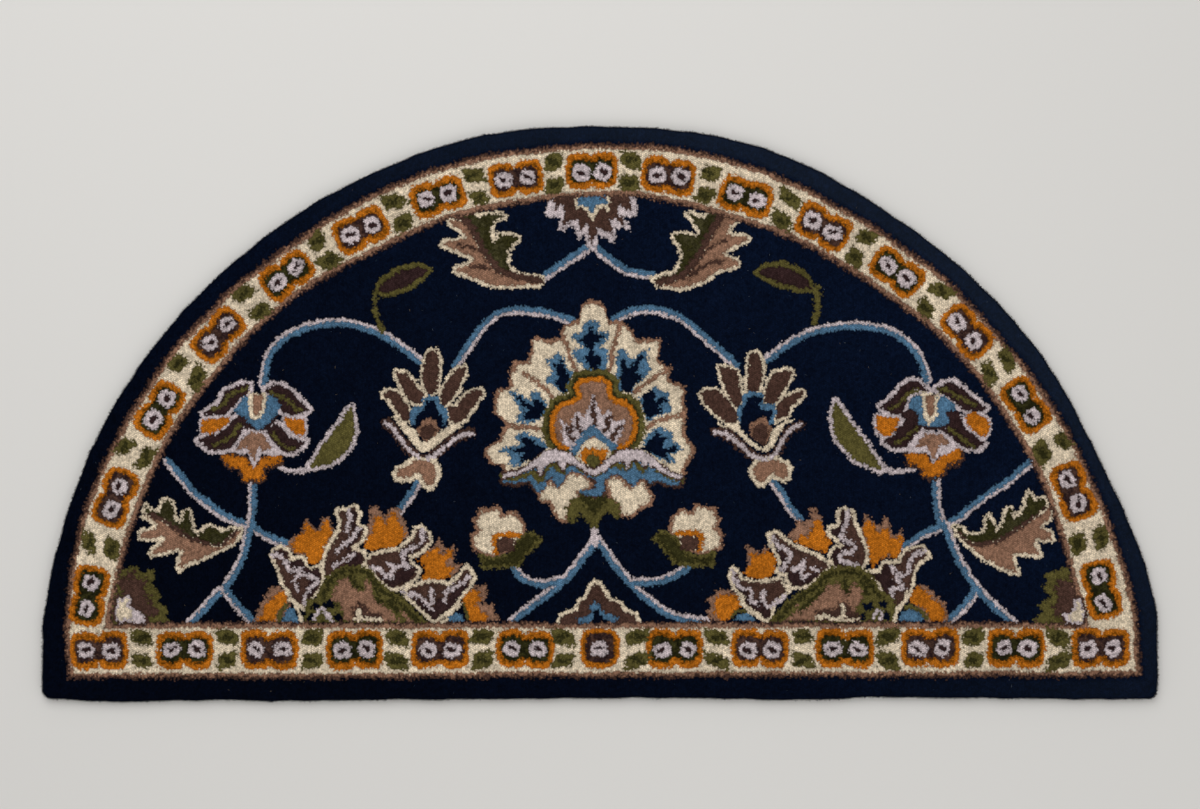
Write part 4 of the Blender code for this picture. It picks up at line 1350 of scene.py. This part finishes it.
def trim_lattice(x, y, part, triangles, ring):
    """Keeps the triangles whose middle is inside the ring, drops unused points, and pulls the points
    on the new edge out to the ring."""
    middle = np.stack([x[triangles].mean(1), y[triangles].mean(1)], -1)
    inside = depth_in_outline(middle[:, 0], middle[:, 1], ring, DEPTH_REACH_MM)[0] > 0.0
    triangles = triangles[inside]
    used, triangles = np.unique(triangles, return_inverse=True)
    triangles = triangles.reshape(-1, 3)
    x, y, part = x[used], y[used], part[used]
    sides = np.sort(triangles[:, [0, 1, 1, 2, 2, 0]].reshape(-1, 2), axis=1)
    keys, counts = np.unique(sides[:, 0] * len(x) + sides[:, 1], return_counts=True)
    open_sides = keys[counts == 1]
    on_edge = np.zeros(len(x), bool)
    on_edge[open_sides // len(x)] = on_edge[open_sides % len(x)] = True
    luck = np.random.default_rng(11)
    x = x + np.where(on_edge, 0.0, luck.uniform(-OUT_OF_PLACE_MM, OUT_OF_PLACE_MM, len(x)))
    y = y + np.where(on_edge, 0.0, luck.uniform(-OUT_OF_PLACE_MM, OUT_OF_PLACE_MM, len(x)))
    depth, foot = depth_in_outline(x, y, ring, DEPTH_REACH_MM)
    x, y = np.where(on_edge, foot[:, 0], x), np.where(on_edge, foot[:, 1], y)
    return x, y, part, triangles, np.where(on_edge, 0.0, np.maximum(depth, 0.05)), on_edge


ROOT_X, ROOT_Y, PART, TRIANGLES, EDGE_DEPTH, ON_EDGE = trim_lattice(*tuft_lattice(OUTLINE), OUTLINE)
print("points of pile:", len(ROOT_X), "triangles:", len(TRIANGLES), "on the edge:", int(ON_EDGE.sum()))

# %% [markdown]
# ## Tufting the pattern
# Now the pattern is tufted into the lattice. What comes out is one yarn number for
# each point, and the distances inside the border's lines, which tell later where
# the pile is parted into pieces.

# %% Tuft the pattern
EDGE_BEARING = np.degrees(np.arctan2(OUTLINE[:, 1] - ARC_CENTRE_Y, OUTLINE[:, 0] - ARC_CENTRE_X))
EDGE_RADIUS = np.hypot(OUTLINE[:, 1] - ARC_CENTRE_Y, OUTLINE[:, 0] - ARC_CENTRE_X)
ON_ARC = (EDGE_BEARING > 2.0) & (EDGE_BEARING < 178.0)
BY_BEARING = np.argsort(EDGE_BEARING[ON_ARC])
CLOTH = Cloth(ROOT_X, ROOT_Y)
BORDER_DEPTH, FIELD_DEPTH = tuft_pattern(CLOTH, EDGE_BEARING[ON_ARC][BY_BEARING],
                                         EDGE_RADIUS[ON_ARC][BY_BEARING])
for yarn_name, number in YARN_NUMBER.items():
    print(f"{yarn_name:9s} {100.0 * np.mean(CLOTH.yarn == number):5.1f} % of the pile")

# %% [markdown]
# ## Height and tint of each tuft
# The pile stands about a centimetre high and rounds over to the edge, as the CAD
# section does. On that height go the tip or gap of the lattice, a little luck for
# each tuft, and low swells where a foot or a fold pressed the wool. Where two
# yarns meet the tufter's comb parts the pile, so the line between them lies a
# little lower. The tint carries the same story in colour as painted light and
# shade: the tips are lighter, and the gaps and the partings are painted darker,
# because light doesn't reach down into them.

# %% Height and tint
TIP_MM, GAP_MM, LUCK_MM, PARTING_MM = 0.34, -0.48, 0.34, 0.5
# painted light on the tips, painted shade in the gaps and at partings; the tint luck is a random tone
TIP_PAINTED_LIGHT, GAP_PAINTED_SHADE, TINT_LUCK, PARTING_PAINTED_SHADE = 1.42, 0.88, 0.40, 0.80
EDGE_FADE_MM = 2.4
SWELL_MM, SWELL_SIZE_MM = 0.35, 46.0
# painted sheen: the navy lighter towards the upper right, and a grey painted sheen on the rim there
PAINTED_SHEEN_REACH_MM, NAVY_PAINTED_SHEEN = 450.0, 0.5
RIM_SHEEN, RIM_SHEEN_EARLY, RIM_SHEEN_FADE_MM = (0.0044, 0.0058, 0.0062), 0.2, 6.0
TINT_SWELLS = (
    # size in mm, share, seed
    (24.0, 0.07, 14), (7.0, 0.08, 15), (3.1, 0.22, 19),
)


def pile_heights_and_tints(cloth, part, triangles, depth, border):
    """Height in millimetres = edge profile + lattice + luck + swell - parting, each faded out at the
    very edge; tint = yarn's light * lattice * luck, with painted shade in the gaps and at a parting and
    painted light on the tips. A painted sheen makes the navy lighter towards the upper right and darker
    towards the lower left, as the leaning nap catches the light, and gives the rim there a grey painted
    sheen."""
    luck = np.random.default_rng(12)
    sides = triangles[:, [0, 1, 1, 2, 2, 0]].reshape(-1, 2)
    differ = cloth.yarn[sides[:, 0]] != cloth.yarn[sides[:, 1]]
    parting = np.zeros(len(depth))
    parting[sides[differ].ravel()] = 1.0
    tip = part == 0
    steady = np.clip(depth / EDGE_FADE_MM, 0.0, 1.0)
    profile = np.interp(depth, *np.transpose(EDGE_PROFILE_MM))
    relief = np.where(tip, TIP_MM, GAP_MM) + LUCK_MM * luck.uniform(-1.0, 1.0, len(depth))
    swell = SWELL_MM * cloth_noise(cloth.x, cloth.y, SWELL_SIZE_MM, 13)
    height = profile + steady * (relief + swell - PARTING_MM * parting)
    # painted light on the tips and painted shade in the gaps, times a random tone
    tint = np.where(tip, TIP_PAINTED_LIGHT, GAP_PAINTED_SHADE) * (1.0 + TINT_LUCK * luck.uniform(-1.0, 1.0, len(depth)))
    for size, share, seed in TINT_SWELLS:
        tint *= 1.0 + share * cloth_noise(cloth.x, cloth.y, size, seed)
    # painted shade along the partings between two yarns
    tint *= np.where(parting > 0.0, PARTING_PAINTED_SHADE, 1.0)
    # painted sheen of the leaning nap on the navy, and a grey painted sheen added on the rim
    lean = np.clip((0.6 * cloth.x + 0.8 * cloth.y) / PAINTED_SHEEN_REACH_MM, -1.0, 1.0)
    tint *= 1.0 + NAVY_PAINTED_SHEEN * lean * (cloth.yarn == YARN_NUMBER["navy"])
    rim = np.clip(lean + RIM_SHEEN_EARLY, 0.0, 1.0) * np.clip(-border / RIM_SHEEN_FADE_MM, 0.0, 1.0)
    return height, YARN_LIGHT[cloth.yarn] * tint[:, None] + rim[:, None] * np.array(RIM_SHEEN)


PILE_HEIGHT, PILE_TINT = pile_heights_and_tints(CLOTH, PART, TRIANGLES, EDGE_DEPTH, BORDER_DEPTH)
print("pile height in mm:", round(float(PILE_HEIGHT.min()), 2), "to", round(float(PILE_HEIGHT.max()), 2))

# %% [markdown]
# ## Making a mesh
# Every piece goes into Blender in the same way: an array of places, an array of
# triangles, and a colour for each point that the wool's shader reads. The texture
# map is the plan of the rug itself, seen from above, fitted to the piece's own box.

# %% Mesh from arrays
def make_piece(name, points_mm, triangles, colours=None, smooth=True):
    """A mesh object from places in millimetres and triangles, with a point colour and a plan map:
    map place = (place - lowest) / longest side of the piece's box."""
    points = np.asarray(points_mm, float) * MILLIMETRE
    mesh = bpy.data.meshes.new(name)
    mesh.vertices.add(len(points))
    mesh.vertices.foreach_set("co", points.ravel())
    mesh.loops.add(triangles.size)
    mesh.loops.foreach_set("vertex_index", triangles.ravel().astype(np.int32))
    mesh.polygons.add(len(triangles))
    mesh.polygons.foreach_set("loop_start", np.arange(0, triangles.size, 3, dtype=np.int32))
    mesh.polygons.foreach_set("loop_total", np.full(len(triangles), 3, np.int32))
    mesh.update(calc_edges=True)
    mesh.polygons.foreach_set("use_smooth", np.full(len(triangles), smooth))
    low = points[:, :2].min(0)
    plan = (points[:, :2] - low) / (points[:, :2].max(0) - low).max()
    mesh.uv_layers.new(name="OFBake").data.foreach_set("uv", plan[triangles.ravel()].ravel())
    if colours is not None:
        shade = mesh.color_attributes.new("yarn_colour_with_painted_shade", "FLOAT_COLOR", "POINT")
        rgba = np.hstack([colours, np.ones((len(colours), 1))])
        shade.data.foreach_set("color", rgba.ravel())
    mesh.validate()
    piece = bpy.data.objects.new(name, mesh)
    bpy.context.scene.collection.objects.link(piece)
    print(name, "points:", len(points), "triangles:", len(triangles))
    return piece


# %% [markdown]
# ## Parting the pile
# A piece of the library stays under two hundred thousand triangles, so the pile is
# parted along lines that the pattern itself has: the navy rim, the border on the
# arch, the border on the hearth side, and three parts of the field. Neighbours
# share the very same places along their common line, so nothing shows there.

# %% Pile pieces
FIELD_CUTS_X = (-168.0, 158.0)
SILL_TOP_Y = -262.0


def part_the_pile():
    """Each triangle goes to the piece that its middle lies in."""
    middle_x = ROOT_X[TRIANGLES].mean(1)
    middle_y = ROOT_Y[TRIANGLES].mean(1)
    border, field = BORDER_DEPTH[TRIANGLES].mean(1), FIELD_DEPTH[TRIANGLES].mean(1)
    place = np.digitize(middle_x, FIELD_CUTS_X) + 3
    place[field <= 0.0] = 2
    place[(field <= 0.0) & (middle_y > SILL_TOP_Y)] = 1
    place[border <= 0.0] = 0
    return place


PIECE_NAMES = ("pile_rim", "pile_border_arch", "pile_border_hearth_side", "pile_field_left",
               "pile_field_middle", "pile_field_right")
PILE_POINTS = np.stack([ROOT_X, ROOT_Y, PILE_HEIGHT], -1)
PLACE = part_the_pile()
pile_pieces = []
for number, piece_name in enumerate(PIECE_NAMES):
    used, own = np.unique(TRIANGLES[PLACE == number], return_inverse=True)
    pile_pieces.append(make_piece(piece_name, PILE_POINTS[used], own.reshape(-1, 3), PILE_TINT[used]))

# %% [markdown]
# ## The side of the pile
# Seen from the floor, the rug has a soft wall about a centimetre high: the pile
# bellies out over the backing. The wall is the edge of the lattice walked round
# once and repeated lower down and drawn in, with the tuft's grain on it. Its
# lower rings are painted darker, as shade under the belly of the pile.

# %% Walk round the edge
SIDE_RINGS_MM = (
    # drawn in, height, tint: painted shade, darker lower down under the pile's belly
    (0.0, 5.6, 0.95), (0.5, 4.6, 0.8), (1.6, 3.5, 0.6), (3.0, 2.25, 0.4),
)


def edge_walk(triangles, points):
    """The edge points in order round the rug: each open side of a triangle leads on to the next."""
    sides = triangles[:, [0, 1, 1, 2, 2, 0]].reshape(-1, 2)
    keys = np.sort(sides, axis=1)
    keys = keys[:, 0] * len(points) + keys[:, 1]
    _, first, counts = np.unique(keys, return_index=True, return_counts=True)
    open_sides = sides[first[counts == 1]]
    after = dict(zip(open_sides[:, 0].tolist(), open_sides[:, 1].tolist()))
    start = int(open_sides[0, 0])
    walk = [start]
    while after[walk[-1]] != start:
        walk.append(after[walk[-1]])
    return np.array(walk)


WALK = edge_walk(TRIANGLES, PILE_POINTS)
print("points round the edge:", len(WALK), "of", int(ON_EDGE.sum()))


def side_of_pile(walk):
    """Rings under the walk, drawn in along its normal, bridged by triangles that face outwards."""
    edge = PILE_POINTS[walk, :2]
    tangent = np.roll(edge, -3, axis=0) - np.roll(edge, 3, axis=0)
    tangent /= np.hypot(tangent[:, 0], tangent[:, 1])[:, None]
    inward = np.stack([-tangent[:, 1], tangent[:, 0]], -1)
    luck = np.random.default_rng(16)
    rings, tints = [], []
    for number, (drawn_in, height, tint) in enumerate(SIDE_RINGS_MM):
        stray = luck.uniform(-0.3, 0.3, (len(walk), 1)) if number else 0.0
        plan = edge + inward * (drawn_in + stray)
        rings.append(np.column_stack([plan, np.full(len(walk), height)]))
        tints.append(np.full(len(walk), tint) * luck.uniform(0.8, 1.2, len(walk)))
    count = len(walk)
    here = np.arange(count)
    there = np.roll(here, -1)
    triangles = []
    for upper in range(len(rings) - 1):
        top, low = upper * count, (upper + 1) * count
        triangles.append(np.stack([top + here, low + here, low + there], -1))
        triangles.append(np.stack([top + here, low + there, top + there], -1))
    # painted shade: the navy darkened ring by ring down the wall, with a random grain
    colour = YARN_LIGHT[YARN_NUMBER["navy"]] * np.concatenate(tints)[:, None]
    return np.vstack(rings), np.vstack(triangles), colour


side_piece = make_piece("pile_side", *side_of_pile(WALK))
pile_pieces.append(side_piece)

# %% [markdown]
# ## Loose fibres at the rim
# The shears leave the outer tufts ragged, and they lean out over the backing. Each
# one here is a bent cone with three sides: a root ring, a middle ring that has
# leant out, and one point. All of them are worked out at once as arrays of
# roots, directions and lengths.

# %% Rim tufts
RIM_TUFT_ROWS = (
    # inside the outline, height, lean in degrees from upright, length, half width, spacing, all in mm
    (2.2, 10.6, 40.0, 3.0, 0.62, 1.9),
    (0.6, 8.0, 66.0, 2.6, 0.6, 1.9),
    (0.5, 5.4, 88.0, 2.3, 0.56, 2.0),
    (1.4, 3.4, 104.0, 2.2, 0.5, 2.4),
)
# Three points of the root, three of the middle ring, and the tip: painted shade at the root, where the pile
# covers it, and painted light on the tip
CONE_PAINTED_SHADE_AND_LIGHT = [0.8, 0.8, 0.8, 1.0, 1.0, 1.0, 1.2]


def along_ring(ring, spacing):
    """Places at an even spacing round a ring, with the unit direction out of it."""
    closed = np.vstack([ring, ring[:1]])
    step = np.diff(closed, axis=0)
    length = np.hypot(step[:, 0], step[:, 1])
    reached = np.concatenate([[0.0], np.cumsum(length)])
    at = np.arange(0.0, reached[-1], spacing)
    place = np.stack([np.interp(at, reached, closed[:, 0]), np.interp(at, reached, closed[:, 1])], -1)
    tangent = np.roll(place, -1, axis=0) - np.roll(place, 1, axis=0)
    tangent /= np.hypot(tangent[:, 0], tangent[:, 1])[:, None]
    return place, np.stack([tangent[:, 1], -tangent[:, 0]], -1)


def bent_cones(root, lean, sag, length, half_width):
    """Cones with a ring of three at the root, a thinner ring two thirds up, and a tip: the middle
    goes along the lean, and the tip is pulled down by the sag."""
    count = len(root)
    side = np.cross(lean, (0.0, 0.0, 1.0)) + np.array((1e-4, 0.0, 0.0))
    side /= np.linalg.norm(side, axis=1)[:, None]
    up = np.cross(side, lean)
    points = np.empty((count, 7, 3))
    turn = np.arange(3) * 2.0 * math.pi / 3.0
    for ring, (share, width) in enumerate(((0.0, 1.0), (0.62, 0.72))):
        middle = root + lean * (length * share)[:, None] + sag * share ** 2
        round_it = (side[:, None] * np.cos(turn)[None, :, None] + up[:, None] * np.sin(turn)[None, :, None])
        points[:, 3 * ring:3 * ring + 3] = middle[:, None] + round_it * (half_width * width)[:, None, None]
    points[:, 6] = root + lean * length[:, None] + sag
    faces = np.array([(0, 1, 4), (0, 4, 3), (1, 2, 5), (1, 5, 4), (2, 0, 3), (2, 3, 5),
                      (3, 4, 6), (4, 5, 6), (5, 3, 6)])
    triangles = faces[None] + 7 * np.arange(count)[:, None, None]
    return points.reshape(-1, 3), triangles.reshape(-1, 3)


def rim_tufts(ring):
    """Rows of bent cones round the rug, each with its own luck in place, lean and length."""
    luck = np.random.default_rng(17)
    points, triangles, colours, count = [], [], [], 0
    for inset, height, lean_deg, length, half_width, spacing in RIM_TUFT_ROWS:
        place, out = along_ring(ring, spacing)
        size = len(place)
        root = np.column_stack([place - out * inset, np.full(size, height)])
        root += luck.uniform(-0.6, 0.6, (size, 3)) * (1.0, 1.0, 0.8)
        tilt = np.radians(lean_deg + luck.normal(0.0, 13.0, size))
        swing = luck.normal(0.0, 0.35, size)
        across = np.stack([-out[:, 1], out[:, 0]], -1)
        flat = out * np.cos(swing)[:, None] + across * np.sin(swing)[:, None]
        lean = np.column_stack([flat * np.sin(tilt)[:, None], np.cos(tilt)])
        reach = length * luck.uniform(0.7, 1.15, size)
        sag = np.column_stack([np.zeros((size, 2)), -0.5 * luck.uniform(0.0, 1.0, size)])
        cones, faces = bent_cones(root, lean, sag, reach, half_width * luck.uniform(0.8, 1.2, size))
        points.append(cones)
        triangles.append(faces + count)
        count += len(cones)
        # painted shade at each root and painted light at each tip, times a random tone
        shade = np.repeat(luck.uniform(0.75, 1.25, size), len(CONE_PAINTED_SHADE_AND_LIGHT)) * np.tile(CONE_PAINTED_SHADE_AND_LIGHT, size)
        colours.append(YARN_LIGHT[YARN_NUMBER["navy"]] * shade[:, None])
    return np.vstack(points), np.vstack(triangles), np.vstack(colours)


rim_piece = make_piece("rim_tufts", *rim_tufts(OUTLINE))
pile_pieces.append(rim_piece)

# %% [markdown]
# ## Lint
# A dark rug shows every speck. A few short pale fibres lie on the navy, thinly and
# without any order. They are the same bent cones, lying down.

# %% Lint on the navy
LINT_COUNT = 150


def lint():
    """Short fibres lying on navy tufts that are picked by luck, in pale or dark yarn colours."""
    luck = np.random.default_rng(18)
    navy = np.flatnonzero((CLOTH.yarn == YARN_NUMBER["navy"]) & (PART == 0) & (EDGE_DEPTH > 6.0))
    chosen = luck.choice(navy, LINT_COUNT, replace=False)
    root = PILE_POINTS[chosen] + (0.0, 0.0, 0.1)
    swing = luck.uniform(0.0, 2.0 * math.pi, LINT_COUNT)
    lean = np.column_stack([np.cos(swing), np.sin(swing), luck.uniform(0.0, 0.25, LINT_COUNT)])
    sag = np.column_stack([luck.uniform(-0.6, 0.6, (LINT_COUNT, 2)), np.zeros(LINT_COUNT)])
    length = luck.uniform(1.2, 3.4, LINT_COUNT)
    points, triangles = bent_cones(root, lean, sag, length, luck.uniform(0.12, 0.26, LINT_COUNT))
    shades = light_from_eye([(96, 104, 116), (122, 108, 92), (60, 76, 96)])
    return points, triangles, np.repeat(shades[luck.integers(0, 3, LINT_COUNT)], 7, axis=0)


lint_piece = make_piece("lint", *lint())
pile_pieces.append(lint_piece)

# %% [markdown]
# ## The backing
# Under the pile is the cloth that everything is tufted through, with a second plain
# woven cloth glued over it. It is the one flat sheet of the rug, two millimetres
# thick with its latex, and it is drawn in a little under the pile so that it
# doesn't show from above. A closed slab is right here, because the underside can
# be seen when the rug is lifted.

# %% Backing cloth
BACKING_INSET_MM, BACKING_TOP_MM, BACKING_STEP_MM = 3.0, 2.2, 6.0


def backing_slab(ring):
    """Two copies of the outline, drawn in, closed by fans of triangles about the middle, with a wall
    between them."""
    place, out = along_ring(ring, BACKING_STEP_MM)
    plan = place - out * BACKING_INSET_MM
    count = len(plan)
    low = np.column_stack([plan, np.zeros(count)])
    top = np.column_stack([plan, np.full(count, BACKING_TOP_MM)])
    middle = np.array([(0.0, MIDDLE_Y_MM, 0.0), (0.0, MIDDLE_Y_MM, BACKING_TOP_MM)])
    here = np.arange(count)
    there = np.roll(here, -1)
    under, over = 2 * count + np.zeros(count, int), 2 * count + np.ones(count, int)
    triangles = np.vstack([
        np.stack([under, there, here], -1), np.stack([over, count + here, count + there], -1),
        np.stack([here, there, count + there], -1), np.stack([here, count + there, count + here], -1),
    ])
    return np.vstack([low, top, middle]), triangles


backing = make_piece("backing_cloth", *backing_slab(OUTLINE), smooth=False)

# %% [markdown]
# ## Finishes written as sums
# A finish is a graph of nodes, but it is easier to read as arithmetic. The class
# below wraps one output of a node. Adding or multiplying such values makes the Math
# node that does it, so a line of Python is a piece of the graph.

# %% Values in a node graph
class Value:
    """An output of a node, with the arithmetic that adds further nodes."""

    def __init__(self, tree, socket):
        self.tree, self.socket = tree, socket

    def node(self, kind, settings, inputs, output=0):
        """Adds a node: its settings first, then its sockets, each a plain value or a Value."""
        made = self.tree.nodes.new(kind)
        for key, setting in settings.items():
            setattr(made, key, setting)
        for key, value in inputs.items():
            if isinstance(value, Value):
                self.tree.links.new(value.socket, made.inputs[key])
            else:
                made.inputs[key].default_value = value
        return Value(self.tree, made.outputs[output])

    def math(self, operation, first, second):
        return self.node("ShaderNodeMath", {"operation": operation}, {0: first, 1: second})

    def __add__(self, other):
        return self.math("ADD", self, other)

    def __sub__(self, other):
        return self.math("SUBTRACT", self, other)

    def __rsub__(self, other):
        return self.math("SUBTRACT", other, self)

    def __mul__(self, other):
        return self.math("MULTIPLY", self, other)

    __radd__, __rmul__ = __add__, __mul__

    def sine(self):
        return self.node("ShaderNodeMath", {"operation": "SINE"}, {0: self})

    def noise(self, scale, detail=2.0):
        """Noise of this many swells to the metre, read at the place that this value is."""
        settings = {"noise_dimensions": "3D"}
        return self.node("ShaderNodeTexNoise", settings, {"Vector": self, "Scale": scale, "Detail": detail})

    def tinted(self, factor, darkest, lightest):
        """A colour multiplied by a grey that runs from darkest to lightest with the factor."""
        grey = self.node("ShaderNodeMapRange", {}, {"Value": factor, "To Min": darkest, "To Max": lightest})
        return self.node("ShaderNodeVectorMath", {"operation": "SCALE"}, {0: self, "Scale": grey})

    def bumped(self, strength, distance):
        """A normal raised by this height."""
        return self.node("ShaderNodeBump", {}, {"Strength": strength, "Distance": distance, "Height": self})


def new_finish(name, seen_from_afar):
    """A material with its shader, and the place on the piece as the first value to work from."""
    material = bpy.data.materials.new(name)
    material.use_nodes = True
    material.diffuse_color = (*seen_from_afar, 1.0)
    tree = material.node_tree
    shader = tree.nodes["Principled BSDF"]
    place = Value(tree, tree.nodes.new("ShaderNodeTexCoord").outputs["Object"])
    return material, shader, place


def join(value, shader, name):
    """Leads a value into one socket of the shader."""
    value.tree.links.new(value.socket, shader.inputs[name])


# %% [markdown]
# ## Wool
# Cut wool scatters light in every direction and has no gloss. Its colour comes
# from the yarn's tint on each point, which also holds the painted shade and sheen
# of the pile. Two noises go over it: a fine one at the size of single fibres, which
# also lifts the surface, and a broad one for the dye, which never takes quite
# evenly. The gloss of the shader is turned almost off, because the dark dyes would
# go grey under it.

# %% Wool finish
def wool_finish():
    """Base colour = yarn tint, with its painted shade and sheen, * fibre noise * dye noise; roughness near
    one; a fibre bump.
    """
    material, shader, place = new_finish("wool_pile_finish", YARN_LIGHT[YARN_NUMBER["navy"]])
    tint = place.node("ShaderNodeAttribute", {"attribute_name": "yarn_colour_with_painted_shade"}, {})
    fibres = place.noise(1500.0, 3.0)
    dye = place.noise(21.0, 2.0)
    join(tint.tinted(fibres, 0.62, 1.42).tinted(dye, 0.86, 1.14), shader, "Base Color")
    join(0.88 + 0.12 * fibres, shader, "Roughness")
    join(fibres.bumped(0.35, 0.0006), shader, "Normal")
    shader.inputs["Specular IOR Level"].default_value = 0.02
    return material


wool = wool_finish()

# %% [markdown]
# ## Backing canvas
# The underside is undyed cotton canvas, stiff with latex: two sets of threads that
# cross, one over and one under. A weave is two sine waves at right angles, and where
# their product is high a thread lies on top.

# %% Canvas finish
THREADS_PER_METRE = 520.0


def canvas_finish():
    """Weave = sine of x times sine of y; it lightens the threads on top as painted light, leaves painted
    shade between them, and lifts them.
    """
    material, shader, place = new_finish("backing_canvas", (0.42, 0.35, 0.25))
    split = place.tree.nodes.new("ShaderNodeSeparateXYZ")
    place.tree.links.new(place.socket, split.inputs[0])
    turn = 2.0 * math.pi * THREADS_PER_METRE
    warp = (Value(place.tree, split.outputs["X"]) * turn).sine()
    weft = (Value(place.tree, split.outputs["Y"]) * turn).sine()
    weave = 0.5 + 0.5 * (warp * weft)
    stains = place.noise(9.0, 3.0)
    # painted light on the threads on top and painted shade between them, with random stains
    thread = 0.3 + 0.13 * weave + 0.12 * stains
    yarn = place.node("ShaderNodeVectorMath", {"operation": "SCALE"}, {0: (1.0, 0.84, 0.61), "Scale": thread})
    join(yarn, shader, "Base Color")
    join(weave.bumped(0.5, 0.0005), shader, "Normal")
    shader.inputs["Roughness"].default_value = 0.93
    shader.inputs["Specular IOR Level"].default_value = 0.15
    return material


canvas = canvas_finish()
print("finishes:", wool.name, canvas.name)

# %% Give each piece its finish and its place in the library part
for piece in pile_pieces:
    piece.data.materials.append(wool)
backing.data.materials.append(canvas)
for piece in pile_pieces + [backing]:
    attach(piece, "root")
    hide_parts("rug_body")

# %% [markdown]
# ## The floor
# The rug lies on a plain pale floor. It is part of the stage, not of the rug. It
# goes thirty metres out each way, so that only a very low view shows its end.

# %% Floor
FLOOR_HALF_M = 30.0


def lay_floor():
    """One square, a hair under the backing, in a plain pale grey."""
    mesh = bpy.data.meshes.new("floor")
    reach = FLOOR_HALF_M
    mesh.from_pydata([(-reach, -reach, 0.0), (reach, -reach, 0.0), (reach, reach, 0.0), (-reach, reach, 0.0)],
                     [], [(0, 1, 2, 3)])
    plain = bpy.data.materials.new("pale_floor")
    plain.use_nodes = True
    shader = plain.node_tree.nodes["Principled BSDF"]
    shader.inputs["Base Color"].default_value = (0.74, 0.73, 0.71, 1.0)
    shader.inputs["Roughness"].default_value = 0.85
    mesh.materials.append(plain)
    floor = bpy.data.objects.new("floor", mesh)
    floor.location = (0.0, 0.0, -0.0002)
    bpy.context.scene.collection.objects.link(floor)
    return floor


lay_floor()
